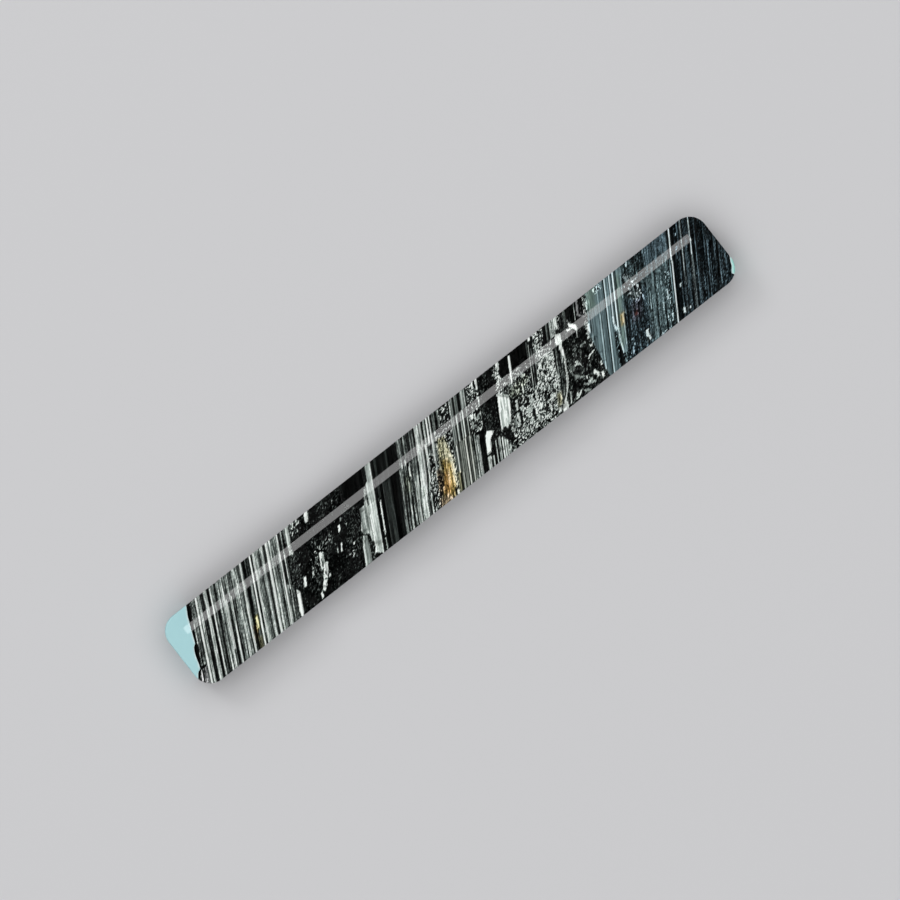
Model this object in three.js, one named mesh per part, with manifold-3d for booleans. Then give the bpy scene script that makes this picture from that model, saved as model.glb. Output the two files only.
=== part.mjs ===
// A stick of black tourmaline, sawn from a mass of parallel crystals that grew together.
// It lies along X on its flat sawn underside, with the crystals slanting across its top face.
// Two fills of pale blue resin complete the outline at its ends. Millimetres, +Z up.
import * as THREE from "three";
import { mergeVertices } from "three/addons/utils/BufferGeometryUtils.js";
import Module from "manifold-3d";

// Driving dimensions.
const length = 136;
const width = 16.1;
const cornerRadius = 3.8;
const faceLevel = 8.3; // mean height of the crystal faces above the underside
const highest = 9; // the height of the proudest crystal
const rootLevel = 5; // the solid base reaches up to here
const rootDepth = 1; // how far down in the base every crystal and lump is rooted
const grooveDepth = 0.55; // the usual depth of a groove between two crystals
const overgrowth = 0.03; // how far a crystal grows into its neighbours
const edgeBevel = 0.3; // the ground edge around the underside and the resin
const facetScatter = 0.45; // how unevenly the corners of rough facets are spread, in facet widths
const edgeRagged = 0.3; // how far rough ground spills over its outline, in facet widths
const seam = 0.15; // between the tourmaline and each resin fill
const resinLevel = 8.2;

// The crystals slant across the stick and fan out a little along it. A crystal line is named by its station,
// the x at which it crosses the middle of the stick.
const lean = 0.566;
const fan = 0.00104;

const halfLength = length / 2;
const halfWidth = width / 2;
const reach = halfWidth; // a crystal that crosses the whole stick is sawn off at both sides
const past = halfWidth + 1.5; // rough ground runs on past the sides before it is sawn off
const slant = (station, y) => station + y * (lean + fan * station);

// Crystals: [from station, to station, rise above the face level, lowest y, highest y].
// The last two are left out where the crystal crosses the whole stick.
const leftCrystals = [
  [-65.9, -63.6, 0.1],
  [-63.6, -62.7, -0.35],
  [-62.75, -62.2, 0.35],
  [-62.25, -61.5, 0.05],
  [-61.5, -60.6, -0.4],
  [-60.65, -60.15, 0.4],
  [-60.2, -59.75, 0.15],
  [-59.2, -58.7, 0.45],
  [-58.75, -58.1, -0.1],
  [-57.6, -56.65, 0.05],
  [-56.7, -55.75, 0.5],
  [-55.8, -55.0, -0.35],
  [-55.0, -54.4, 0.35, -reach, 2.7],
  [-54.5, -53.7, -0.2],
  [-53.75, -52.95, -0.05],
  [-53.0, -51.75, 0.1],
  [-51.75, -51.2, 0.4],
  [-51.25, -50.75, 0],
  [-50.1, -49.2, -0.15],
  [-49.2, -48.6, 0.4],
  [-48.45, -47.95, 0.35],
  [-48.0, -46.9, 0.05],
  [-46.6, -45.65, 0.15],
  [-45.3, -44.5, 0.6],
  [-44.55, -43.55, 0.15],
  [-43.6, -42.7, -0.25],
  [-42.75, -41.95, 0.45],
  [-42.0, -41.25, -0.2],
  [-41.3, -40.8, 0.2, -2.2, reach],
  [-40.15, -39.35, 0.35, 3.2, reach],
  [-39.95, -39.0, 0.1, -reach, -3],
];

const paleCrystals = [
  [-23.35, -21.9, -0.1, -reach, -3],
  [-22.7, -21.25, 0.2, -3, 2],
  [-21.3, -20.75, 0.15, 1.5, 4.5],
  [-20.6, -19.4, 0.7, -6.8, reach],
  [-19.5, -18.45, 0.5, -7.6, reach],
  [-17.95, -17.35, 0.3, -5.4, 1.2],
];

const middleCrystals = [
  [-17.5, -15.7, -0.2],
  [-15.8, -14.2, -0.35],
  [-14.3, -12.55, -0.15],
  [-12.6, -11.9, 0.25],
  [-11.75, -11.1, 0.15],
  [-11.0, -10.35, 0.3],
  [-10.3, -9.55, -0.1],
  [-9.35, -8.6, 0.35],
  [-8.3, -7.3, 0.1],
  [-7.35, -6.5, 0.55],
  [-5.95, -5.35, 0.3],
  [-5.3, -4.5, 0.05, -4, reach],
  [-4.75, -4.1, 0.35, -1, reach],
  [-3.6, -2.6, -0.1, -0.5, reach],
  [1.15, 1.85, 0.35],
  [1.95, 3.1, 0],
  [3.1, 4.1, 0.15],
  [4.1, 5.25, 0.3],
  [5.3, 6.2, -0.1, -reach, 0],
  [6.2, 6.95, 0.35, -reach, -0.8],
];

const blackCrystals = [
  [8.3, 10.2, -0.35, -2.4, reach],
  [10.1, 12.25, -0.15, -2.6, reach],
  [8.35, 9.2, 0.25, -reach, -5.7],
  [9.3, 10.25, -0.1, -reach, -4.6],
  [10.4, 11.1, 0.15, -reach, -4.8],
  [11.15, 12.1, -0.05, -reach, -5.2],
  [12.1, 13.35, 0.35, -reach, -5.6],
  [12.7, 13.6, 0.3, 6.6, reach],
  [13.6, 16, -0.25, 4.6, reach],
  [16, 16.6, 0.3, 0, reach],
  [16.7, 18.7, -0.1, 4.9, reach],
  [18.6, 20.9, -0.3, 4.8, reach],
  [20.8, 21.2, 0.25, -1, 7.6],
  [21.2, 22.4, -0.15, -0.9, 5],
  [24.7, 26.3, -0.25, 4.9, reach],
  [26.3, 27.5, 0.2, 4.4, reach],
  [27.4, 28.5, 0.5, 3.4, reach],
  [27.0, 27.9, -0.15, -6.4, 2.4],
  [27.9, 28.6, 0.05, -5.5, 2.6],
  [28.6, 29.2, 0.6, -4.6, 3.2],
  [27.3, 28.3, 0.45, -reach, -6.4],
];

const slateCrystals = [
  [36.4, 37.4, 0.1, -1, reach],
  [37.4, 38.3, -0.1, -3.6, reach],
  [38.25, 38.75, 0.2, -5.6, reach],
  [38.7, 39.8, -0.15],
  [39.8, 40.7, 0.3],
  [40.7, 41.35, -0.05],
  [41.3, 41.75, 0.35, -1.9, reach],
  [41.6, 42.2, -0.25, -reach, -1.2],
  [42.15, 42.65, 0.45, -3.6, reach],
  [42.6, 44.15, 0.1],
  [44.2, 45.3, -0.35],
  [45.3, 46.5, -0.1],
  [46.5, 47.2, 0.2, -0.4, 5],
  [46.5, 48.1, -0.2],
  [48.1, 49.9, -0.3],
  [49.9, 50.9, 0.1],
  [50.9, 51.9, 0.2],
  [51.9, 53.2, -0.05],
  [53.2, 54.1, 0.15],
  [54.2, 55.2, -0.1],
  [55.2, 56.35, 0.05],
  [56.3, 56.9, 0.6],
  [56.9, 59.1, -0.25],
  [59.1, 59.7, 0.25],
  [59.7, 61.2, -0.15],
  [61.2, 61.7, 0.35],
  [61.7, 62.4, -0.3],
  [62.4, 63.1, 0.1],
  [63.1, 64.4, -0.4],
  [64.4, 66, 0],
  [66, 67.9, -0.3],
  [67.8, 68.4, 0.2],
  [68.4, 73.5, -0.15],
];

// Single crystals that broke across, and the ledges left in the breaks: an outline of [station, y] corners, the
// rise above the face level, and how far the top face falls per millimetre along X and along Y.
const brokenCrystals = [
  { rise: 0.5, fallX: 0.1, fallY: 0.03, // big bright crystal
    corners: [[12.5, 2.8], [12.3, 0], [12.3, -2.8], [12.6, -3.3], [13.9, -3.8], [14.6, -3.2], [14.9, -3],
      [15.3, -0.5], [15.2, 1], [13.3, 2.3]] },
  { rise: 0.45, fallX: -0.08, fallY: 0.02, // small white crystal
    corners: [[8.4, -1.7], [8.3, -5.2], [9.5, -5.2], [9.6, -3.3], [10.3, -2.8], [10.5, -2.1], [8.9, -1.4]] },
  { rise: -0.45, fallX: 0.12, fallY: 0.05, // upper left ledge
    corners: [[-40.8, past], [-40.6, 5.6], [-38.6, 4.7], [-36.6, 5.6], [-36.3, past]] },
  { rise: -1, fallX: -0.12, fallY: 0.15, // left ledge
    corners: [[-40.4, 3.4], [-40.3, -1], [-37.6, -1.6], [-35.6, 0.4], [-36.2, 3]] },
  { rise: -1.05, fallX: 0.1, fallY: 0.12, // upper ledge
    corners: [[-33.6, past], [-34.4, 6.2], [-31.6, 4.6], [-28.4, 5.8], [-27.6, past]] },
  { rise: -0.75, fallX: 0.08, fallY: -0.06, // smooth ledge
    corners: [[-26.4, past], [-26.2, 4.8], [-24.6, 2.6], [-22.2, 2.4], [-20.6, 5], [-20.2, past]] },
  { rise: -1.1, fallX: 0.16, fallY: -0.1, // middle ledge
    corners: [[-30.6, 2.2], [-31, -1.6], [-28.2, -3], [-26, -0.8], [-27.2, 2.6]] },
  { rise: -0.9, fallX: -0.1, fallY: 0.1, // lower ledge
    corners: [[-28.6, -past], [-27.8, -5.6], [-25.8, -4], [-24.4, -5], [-24.2, -past]] },
  { rise: -0.5, fallX: 0.1, fallY: 0, // white splinter
    corners: [[-33.4, -2.3], [-33.9, -5.6], [-33.1, -6.2], [-32.2, -5.3], [-32.4, -2.5]] },
  { rise: -0.5, fallX: 0, fallY: 0.1, // small splinter
    corners: [[-37.8, -2.1], [-37.8, -3.8], [-37.1, -3.9], [-37, -2.1]] },
  { rise: -0.7, fallX: 0.22, fallY: -0.1, // brown-grey face
    corners: [[31, -1], [31.2, -5], [34.9, -5], [35, -2.6], [33.4, -0.8]] },
  { rise: 0.25, fallX: 0.1, fallY: 0, // ragged rib
    corners: [[35.1, 6], [35.1, 2], [35.9, 0.8], [36.2, 3], [35.7, 6.4]] },
  { rise: 0.4, fallX: 0, fallY: 0.08, // white flake
    corners: [[30.5, 5.8], [30.2, 4.2], [31.5, 4], [32.4, 3.3], [32.6, 2.1], [32.9, 3.5], [32.7, 4.4]] },
];

// Beds of solid crystal that the grooves are cut down to: [from station, to station, depth below the faces].
const beds = [
  [-66.5, -40.9, grooveDepth],
  [-17.9, -12.4, 0.7],
  [-12.6, -2.4, grooveDepth],
  [1.1, 7, grooveDepth],
  [36.9, 75, grooveDepth],
];

// Rough ground, where the mass broke across its crystals or grew as grains: an outline of [station, y] corners,
// how deep it lies below the face level, how much it swells and sinks over a few millimetres, how rough its
// facets are and how wide they are.
const roughGrounds = [
  { depth: 1.7, swell: 0.55, rough: 0.5, facet: 1.15, seed: 3, // big break
    corners: [[-41.2, past], [-41.2, -past], [-22.2, -past], [-22.3, -2], [-20.2, 4], [-19.6, past]] },
  { depth: 1.1, swell: 0, rough: 0.3, facet: 1.2, seed: 5, // break beside the pale crystals
    corners: [[-22.2, -past], [-22.3, past], [-17.4, past], [-17.4, -past]] },
  { depth: 0.25, swell: 0, rough: 0.35, facet: 0.8, seed: 11, // lower grains
    corners: [[-7.2, -past], [-6.4, -4.2], [-5.1, 0.4], [-3.2, 0.4], [-2.4, -past]] },
  { depth: 0.5, swell: 0.2, rough: 0.25, facet: 1, seed: 13, // golden hollow
    corners: [[-3.3, -past], [-3, -3], [-3.3, 4], [-0.8, 4], [0.4, -3], [0.4, -past]] },
  { depth: 0.15, swell: 0, rough: 0.35, facet: 0.8, seed: 17, // upper grains
    corners: [[-2.4, past], [-1.2, 2.5], [0, -2], [0.2, -past], [1.5, -past], [1.5, past]] },
  { depth: 0.2, swell: 0, rough: 0.35, facet: 0.85, seed: 19, // grains at the black faces
    corners: [[5.3, past], [5.3, -0.5], [8.4, -1.6], [8.4, past]] },
  { depth: 1.3, swell: 0.2, rough: 0.35, facet: 1.2, seed: 23, // floor of the groove
    corners: [[6.9, -0.5], [6.9, -past], [17, -past], [17, past], [7.6, past]] },
  { depth: 0.4, swell: 0, rough: 0.35, facet: 0.9, seed: 29, // grains above the bright crystal
    corners: [[12.2, 6.6], [12.2, 2.6], [16.6, 1.4], [16.6, 5], [13.4, 6.8]] },
  { depth: 0.15, swell: 0.2, rough: 0.45, facet: 0.85, seed: 31, // bright grains
    corners: [[15.2, -past], [15.4, 1], [16.4, 5.2], [20.6, 5], [22.4, 6.4], [24.9, 6], [27.2, 4], [27.2, -past]] },
  { depth: 0.8, swell: 0, rough: 0.3, facet: 1.2, seed: 37, // floor above the grains
    corners: [[16.4, past], [16.4, 3], [28.4, 3], [28.4, past]] },
  { depth: 1.2, swell: 0.5, rough: 0.55, facet: 1, seed: 41, // lumpy break
    corners: [[26.8, past], [26.8, -past], [39.8, -past], [37.2, -3], [36.6, past]] },
];

// The line where the crystals meet the resin at each end, as [station, y] corners from top to bottom.
const leftEnd = [[-64.6, past], [-64.7, 8], [-64.8, 6], [-64.6, 3], [-64.4, 0.9], [-64.85, 0.4], [-64.9, -0.4],
  [-64.8, -1.4], [-64.5, -2.8], [-64.4, -3.8], [-65, -4], [-65.3, -5.1], [-65.6, -past]];
const rightEnd = [[72.5, -2.2], [70.4, -3.7], [70.5, -5], [70.7, -5.6], [70.5, -6.8], [71, -7.2], [72.5, -past]];

const wasm = await Module();
wasm.setup();

function seededRandom(seed) {
  let state = seed * 7919 + 1;
  return () => {
    state = (state * 16807) % 2147483647;
    return state / 2147483647;
  };
}

function mergedPoints(geometry) {
  const closed = geometry.clone();
  closed.deleteAttribute("normal");
  closed.deleteAttribute("uv");
  return mergeVertices(closed, 1e-5);
}

function solidOf(geometry) {
  const merged = mergedPoints(geometry);
  const vertProperties = new Float32Array(merged.attributes.position.array);
  const triVerts = new Uint32Array(merged.index.array);
  return new wasm.Manifold(new wasm.Mesh({ numProp: 3, vertProperties, triVerts }));
}

function geometryOf(solid) {
  const { vertProperties, triVerts } = solid.getMesh();
  const geometry = new THREE.BufferGeometry();
  geometry.setAttribute("position", new THREE.BufferAttribute(vertProperties, 3));
  geometry.setIndex(new THREE.BufferAttribute(triVerts, 1));
  return geometry;
}

function moveEachPoint(geometry, move) {
  const position = geometry.attributes.position;
  const point = new THREE.Vector3();
  for (let i = 0; i < position.count; i++) {
    point.fromBufferAttribute(position, i);
    move(point);
    position.setXYZ(i, point.x, point.y, point.z);
  }
  return geometry;
}

// A prism of the given plan outline, from one height to another, with all its edges bevelled if asked for.
function prism(points, from, to, bevel = 0) {
  const shape = new THREE.Shape(points);
  const depth = to - from - 2 * bevel;
  const options = { depth, bevelEnabled: bevel > 0, bevelSize: bevel, bevelOffset: -bevel, bevelThickness: bevel,
    bevelSegments: 2, curveSegments: 10, steps: 1 };
  return new THREE.ExtrudeGeometry(shape, options).translate(0, 0, from + bevel);
}

const onStick = (corners) => corners.map(([station, y]) => new THREE.Vector2(slant(station, y), y));

// One long crystal. Its cross-section has two flanks and two or three flat faces that meet in a low ridge.
function longCrystal([left, right, rise, yLow = -reach, yHigh = reach], random) {
  const from = left - overgrowth;
  const to = right + overgrowth;
  const wide = to - from;
  const top = faceLevel + rise;
  const shoulder = Math.min(0.28 * wide, 0.3);
  const ridge = from + wide * (0.3 + 0.4 * random());
  const section = new THREE.Shape([
    new THREE.Vector2(from, rootLevel - rootDepth),
    new THREE.Vector2(to, rootLevel - rootDepth),
    new THREE.Vector2(to, top - shoulder * (0.7 + 0.6 * random())),
    new THREE.Vector2(to - 0.22 * wide, top - 0.12 * random()),
    new THREE.Vector2(ridge, top),
    new THREE.Vector2(from + 0.12 * wide, top - 0.4 * shoulder * random()),
    new THREE.Vector2(from, top - shoulder * (0.7 + 0.6 * random())),
  ]);
  const geometry = new THREE.ExtrudeGeometry(section, { depth: yHigh - yLow, bevelEnabled: false, steps: 1 });
  const endSlope = 0.5 + random(); // of a broken end; a sawn end is upright
  moveEachPoint(geometry, (point) => {
    const station = point.x;
    const height = point.y;
    const y = point.z < 1e-6 ? yLow : yHigh;
    const inset = Math.abs(y) < reach ? Math.max(0, height - faceLevel + 1) * endSlope : 0;
    const end = point.z < 1e-6 ? y + inset : y - inset;
    point.set(slant(station, end), end, height);
  });
  return solidOf(mirroredFacesOut(geometry));
}

// Laying the section down swaps the hand of the axes, so each triangle is turned to face out again.
function mirroredFacesOut(geometry) {
  const plain = geometry.index ? geometry.toNonIndexed() : geometry;
  const { array } = plain.attributes.position;
  for (let i = 0; i < array.length; i += 9) {
    for (let k = 0; k < 3; k++) {
      [array[i + 3 + k], array[i + 6 + k]] = [array[i + 6 + k], array[i + 3 + k]];
    }
  }
  return plain;
}

// One crystal broken across, with a flat top face that falls away from its middle.
function brokenCrystal({ corners, rise, fallX, fallY }) {
  const top = faceLevel + rise;
  const points = onStick(corners);
  const middle = points.reduce((sum, point) => sum.add(point), new THREE.Vector2()).divideScalar(points.length);
  const geometry = prism(points, rootLevel - rootDepth, top);
  moveEachPoint(geometry, (point) => {
    if (point.z > top - 1e-3) {
      point.z = Math.min(highest, top - (point.x - middle.x) * fallX - (point.y - middle.y) * fallY);
    }
  });
  return solidOf(geometry);
}

function bed([from, to, depth]) {
  const corners = [[from, reach], [from, -reach], [to, -reach], [to, reach]];
  return solidOf(prism(onStick(corners), rootLevel - rootDepth, faceLevel - depth));
}

// How far a point is inside an outline; negative outside it.
function depthInside(points, x, y) {
  let nearest = Infinity;
  let inside = false;
  points.forEach((a, i) => {
    const b = points[(i + 1) % points.length];
    const along = ((x - a.x) * (b.x - a.x) + (y - a.y) * (b.y - a.y)) / a.distanceToSquared(b);
    const t = THREE.MathUtils.clamp(along, 0, 1);
    nearest = Math.min(nearest, Math.hypot(x - a.x - t * (b.x - a.x), y - a.y - t * (b.y - a.y)));
    if (a.y > y !== b.y > y && x < a.x + ((y - a.y) * (b.x - a.x)) / (b.y - a.y)) {
      inside = !inside;
    }
  });
  return inside ? nearest : -nearest;
}

// A block whose upper side is a net of uneven flat facets inside the outline, and falls into the base outside it.
function roughGround({ corners, depth, swell, rough, facet, seed }) {
  const random = seededRandom(seed);
  const points = onStick(corners);
  const room = new THREE.Box2().setFromPoints(points).expandByScalar(facet);
  const size = room.getSize(new THREE.Vector2());
  const middle = room.getCenter(new THREE.Vector2());
  const across = Math.round(size.x / facet);
  const along = Math.round(size.y / facet);
  const middleLevel = rootLevel - rootDepth;
  const block = new THREE.BoxGeometry(size.x, size.y, rootDepth, across, along, 1);
  const merged = mergedPoints(block.translate(middle.x, middle.y, middleLevel));
  moveEachPoint(merged, (point) => {
    const [stepX, stepY, stepZ] = [random() - 0.5, random() - 0.5, random() - 0.5];
    const upper = point.z > middleLevel;
    if (upper && depthInside(points, point.x, point.y) > -edgeRagged * facet) {
      const lift = swell * Math.sin(0.9 * point.x + seed) * Math.cos(0.7 * point.y + 0.5 * point.x);
      point.z = faceLevel - depth + lift + 2 * rough * stepZ;
      point.x += facetScatter * facet * stepX;
      point.y += facetScatter * facet * stepY;
    }
  });
  return solidOf(merged);
}

function stickOutline() {
  const shape = new THREE.Shape();
  const [x, y, r] = [halfLength, halfWidth, cornerRadius];
  shape.moveTo(-x + r, -y);
  shape.lineTo(x - r, -y);
  shape.absarc(x - r, -y + r, r, -Math.PI / 2, 0);
  shape.lineTo(x, y - r);
  shape.absarc(x - r, y - r, r, 0, Math.PI / 2);
  shape.lineTo(-x + r, y);
  shape.absarc(-x + r, y - r, r, Math.PI / 2, Math.PI);
  shape.lineTo(-x, -y + r);
  shape.absarc(-x + r, -y + r, r, Math.PI, 1.5 * Math.PI);
  return shape.getPoints(10);
}

function tourmalineStick(leftSide, rightSide) {
  const random = seededRandom(71);
  const crystals = [leftCrystals, paleCrystals, middleCrystals, blackCrystals, slateCrystals].flat();
  let mass = solidOf(new THREE.BoxGeometry(length + 2, width, rootLevel).translate(0, 0, rootLevel / 2));
  for (const item of beds) mass = mass.add(bed(item));
  for (const item of roughGrounds) mass = mass.add(roughGround(item));
  for (const item of brokenCrystals) mass = mass.add(brokenCrystal(item));
  for (const item of crystals) mass = mass.add(longCrystal(item, random));
  const sawn = mass.intersect(solidOf(prism(stickOutline(), 0, highest + 1, edgeBevel)));
  return sawn.subtract(leftSide).subtract(rightSide);
}

// The space beyond the line where the crystals end, moved along X by the given step.
function beyond(line, farX, step) {
  const points = onStick(line).map((point) => new THREE.Vector2(point.x + step, point.y));
  const far = [new THREE.Vector2(farX, -past), new THREE.Vector2(farX, past)];
  const outline = [...points, ...far];
  const turned = THREE.ShapeUtils.isClockWise(outline) ? outline.reverse() : outline;
  return solidOf(prism(turned, -1, highest + 1));
}

function resinFill(line, farX, step) {
  return solidOf(prism(stickOutline(), 0, resinLevel, edgeBevel)).intersect(beyond(line, farX, step));
}

const tourmaline = new THREE.MeshStandardMaterial({ color: "#1c2322", roughness: 0.35, metalness: 0 });
const resin = new THREE.MeshStandardMaterial({ color: "#a3cfd4", roughness: 0.25, metalness: 0 });
const farLeft = -halfLength - 5;
const farRight = halfLength + 5;
const group = new THREE.Group();

function addPiece(name, solid, material) {
  const mesh = new THREE.Mesh(geometryOf(solid), material);
  mesh.name = name;
  group.add(mesh);
}

addPiece("tourmaline_stick", tourmalineStick(beyond(leftEnd, farLeft, 0), beyond(rightEnd, farRight, 0)), tourmaline);
addPiece("blue_resin_end", resinFill(leftEnd, farLeft, -seam), resin);
addPiece("blue_resin_tip", resinFill(rightEnd, farRight, seam), resin);

export default group;
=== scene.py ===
import math
import random

import bmesh
import bpy
import numpy as np
from mathutils import Matrix, Vector, noise
from mathutils.bvhtree import BVHTree


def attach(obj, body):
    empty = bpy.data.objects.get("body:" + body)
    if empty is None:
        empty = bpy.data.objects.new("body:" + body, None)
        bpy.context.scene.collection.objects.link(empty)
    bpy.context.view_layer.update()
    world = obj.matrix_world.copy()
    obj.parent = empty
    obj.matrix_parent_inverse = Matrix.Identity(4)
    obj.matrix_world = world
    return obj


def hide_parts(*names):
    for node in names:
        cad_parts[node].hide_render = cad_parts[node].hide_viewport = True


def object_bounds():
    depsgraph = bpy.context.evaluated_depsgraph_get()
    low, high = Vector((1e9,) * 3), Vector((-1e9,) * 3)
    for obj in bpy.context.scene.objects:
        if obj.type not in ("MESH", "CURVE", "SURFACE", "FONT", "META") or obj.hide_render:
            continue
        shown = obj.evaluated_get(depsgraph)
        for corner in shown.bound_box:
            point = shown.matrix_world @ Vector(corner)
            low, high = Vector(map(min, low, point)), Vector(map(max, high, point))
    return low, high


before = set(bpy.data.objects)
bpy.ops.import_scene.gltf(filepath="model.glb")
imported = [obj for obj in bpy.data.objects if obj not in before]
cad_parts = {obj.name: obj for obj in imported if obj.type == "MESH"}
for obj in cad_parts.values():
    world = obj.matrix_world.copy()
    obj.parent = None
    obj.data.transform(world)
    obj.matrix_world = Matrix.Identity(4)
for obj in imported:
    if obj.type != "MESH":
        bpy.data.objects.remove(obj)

cadLow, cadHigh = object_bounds()
mm = 0.001
halfLength = (cadHigh.x - cadLow.x) / 2 / mm
halfWidth = (cadHigh.y - cadLow.y) / 2 / mm
topLimit = cadHigh.z / mm
print("frame loaded:", [round(v, 1) for v in (2 * halfLength, 2 * halfWidth, topLimit)], "mm")

# All shapes are worked out in millimetres. A crystal line is named by its station, the x at which it
# crosses the middle of the stick, and "across" and "along" are measured from the crystals.
stick = {
    "lean": 0.566,  # x gained per y by the crystal line at station 0
    "fan": 0.00104,  # and how much more it leans per millimetre of station
    "bent": (-13.25, -2.75),  # crystals between these stations lean more in their lower part
    "bend": 0.08,  # by so much per y
    "bendTop": 1,  # below this y
    "cornerRadius": 3.8,
    "columns": (-70, 73),  # the mesh runs between these stations
    "columnStep": 0.17,  # spacing of the mesh across the crystals
    "rowStep": 0.2,  # and along them
    "castInset": 0.06,  # heights are taken this far inside the outline
    "edgeRound": 0.2,  # worn edge round the top
    "firstRing": 0.7,  # depth of the first ring of the sawn sides below the edge
    "wallRings": [5.2, 3.9, 2.6, 1.3, 0.3],  # heights of the others; the last is the bevel of the underside
    "firstFade": 0.15,  # how much of the top's colour, painted reflection and shade included, is left at the first ring
    "fibreRelief": 0.03,
    "shadeRelief": 0.08,  # a bright crystal face stands about this much prouder than a black one
    "grainRelief": 0.07,
    "sharpness": 0.8,
    "sharpAngle": 28,
    "seed": 7,
}

# How the crystal faces and the chips meet their ground.
crystal = {
    "faceSoft": 0.06,  # half the width over which a face gives way to the next
    "endSoft": 0.15,  # the same at an end that stops short
    "endRagged": 0.3,  # how far the grain frays that end
    "grooveReach": 0.17,  # how far the painted shade of the groove beside a bright face reaches
    "grooveSoft": 0.07,
    "grooveShade": 0.3,
    "litWidth": 0.1,  # a painted highlight on the lit edge of a wide bright face, more often the left one
    "litHighlight": 0.28,
    "litLeft": 0.7,
    "chipRagged": 0.1,
    "chipFibre": 0.08,
    "stainFade": 0.5,  # the brightest faces show this much less of a stain
}

# Tones of the top face's colour. Schorl itself is black, so the black tones are its own colour as well as
# painted shade; the paler tones are painted reflection off its crystal faces, grains and chips.
paintedShades = {
    "white": 1.1, "bright": 0.84, "light": 0.67, "mid": 0.49, "grey": 0.41, "dim": 0.32, "dark": 0.18,
    "night": 0.08, "black": 0.02,
}

# Crystal faces, in each list roughly from left to right: shade, painted reflection for the pale faces and
# painted shade for the dark ones, from station, to station, and the lowest and highest y of those that stop
# short.
leftFaces = [
    ("black", -66, -64, -3, 9), ("mid", -63.88, -63.45, -1, 5), ("grey", -63.8, -63.55, 4, 9),
    ("mid", -63.5, -63.4, 5, 9), ("grey", -63.35, -62.9), ("night", -62.85, -62.68),
    ("white", -62.54, -62.18), ("mid", -62.15, -61.9), ("light", -61.9, -61.65), ("mid", -61.65, -61.45),
    ("black", -61.38, -61.12), ("dark", -61.12, -60.92), ("black", -60.9, -60.54), ("white", -60.4, -60.1),
    ("light", -60.1, -59.7), ("black", -59.62, -59.15), ("bright", -59.05, -58.68), ("dim", -58.6, -58.12),
    ("dark", -58.12, -57.9), ("night", -57.9, -57.6), ("dark", -57.58, -57.42), ("mid", -57.38, -57.1),
    ("night", -57.56, -57.32, -9, -5), ("grey", -57.1, -56.68), ("night", -56.8, -56.6, -9, -5),
    ("light", -56.62, -56.38), ("bright", -56.38, -55.9), ("white", -56.06, -55.64, -5, 4),
    ("light", -55.9, -55.62, -9, -5), ("dim", -55.9, -55.6, 4, 9), ("dark", -55.56, -55.12, -9, 1),
    ("dim", -55.56, -55.12, 1, 9), ("dark", -55.12, -54.9, -5, 4), ("bright", -54.84, -54.62, -9, -4),
    ("bright", -54.72, -54.62, -4, 4), ("bright", -54.84, -54.66, 4, 9), ("white", -54.66, -54.36, -9, 4),
    ("night", -54.66, -54.38, 4, 9), ("black", -54.34, -54.14, -9, 0), ("dark", -54.34, -54.16, 0, 4),
    ("mid", -54.36, -54.16, 4, 9), ("mid", -54.12, -53.9, -5, 4), ("grey", -54.12, -53.9, 4, 9),
    ("dim", -54.14, -53.9, -9, -5), ("dim", -53.88, -53.65), ("grey", -53.62, -52.98),
    ("light", -52.92, -52.6, -9, -2.5), ("mid", -52.95, -52.66, -2.5, 9), ("light", -52.6, -52.38, -9, -3),
    ("dim", -52.6, -52.4, -2, 3), ("mid", -52.38, -52.08), ("grey", -52.06, -51.66),
    ("dark", -51.66, -51.48, -9, -4), ("mid", -51.62, -51.42, -3, 9), ("white", -51.44, -51.06),
    ("mid", -51.1, -50.9), ("dim", -50.9, -50.7), ("black", -50.66, -50.15), ("dim", -50.1, -49.9),
    ("grey", -49.88, -49.15), ("dark", -49.88, -49.4, 4, 9), ("white", -49.06, -48.62),
    ("dark", -48.58, -48.4), ("mid", -48.38, -48.18), ("white", -48.16, -47.82), ("mid", -47.84, -47.1),
    ("grey", -47.1, -46.86), ("dim", -46.86, -46.66), ("black", -46.62, -46.42), ("bright", -46.33, -46.06),
    ("light", -46.06, -45.6), ("dim", -45.58, -45.42), ("black", -45.42, -45.12), ("light", -45.04, -44.92),
    ("white", -44.94, -44.46), ("mid", -44.42, -44.15), ("light", -44.12, -43.86), ("grey", -43.84, -43.4),
    ("dim", -43.38, -42.68), ("mid", -42.64, -42.4), ("light", -42.5, -42.16), ("white", -42.16, -41.84),
    ("mid", -41.84, -41.6, -9, -1), ("grey", -41.6, -41.4, -9, -2.5), ("light", -41.8, -41.44, -9, -4.8),
    ("night", -41.82, -41.4, -1, 9), ("dark", -41.4, -41.12), ("mid", -40.88, -40.5, -9, -4.8),
    ("mid", -41, -40.58, -4.8, -2.4), ("light", -41.18, -40.76, -2.4, 4), ("mid", -41.16, -40.88, 4, 9),
    ("night", -40.54, -40.42), ("grey", -40.4, -40.12, -9, -2.5), ("night", -40.14, -39.95, -9, -2.8),
    ("grey", -40.4, -39.98, 4.4, 9), ("bright", -39.92, -39.2, 3.1, 9),
]

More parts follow.
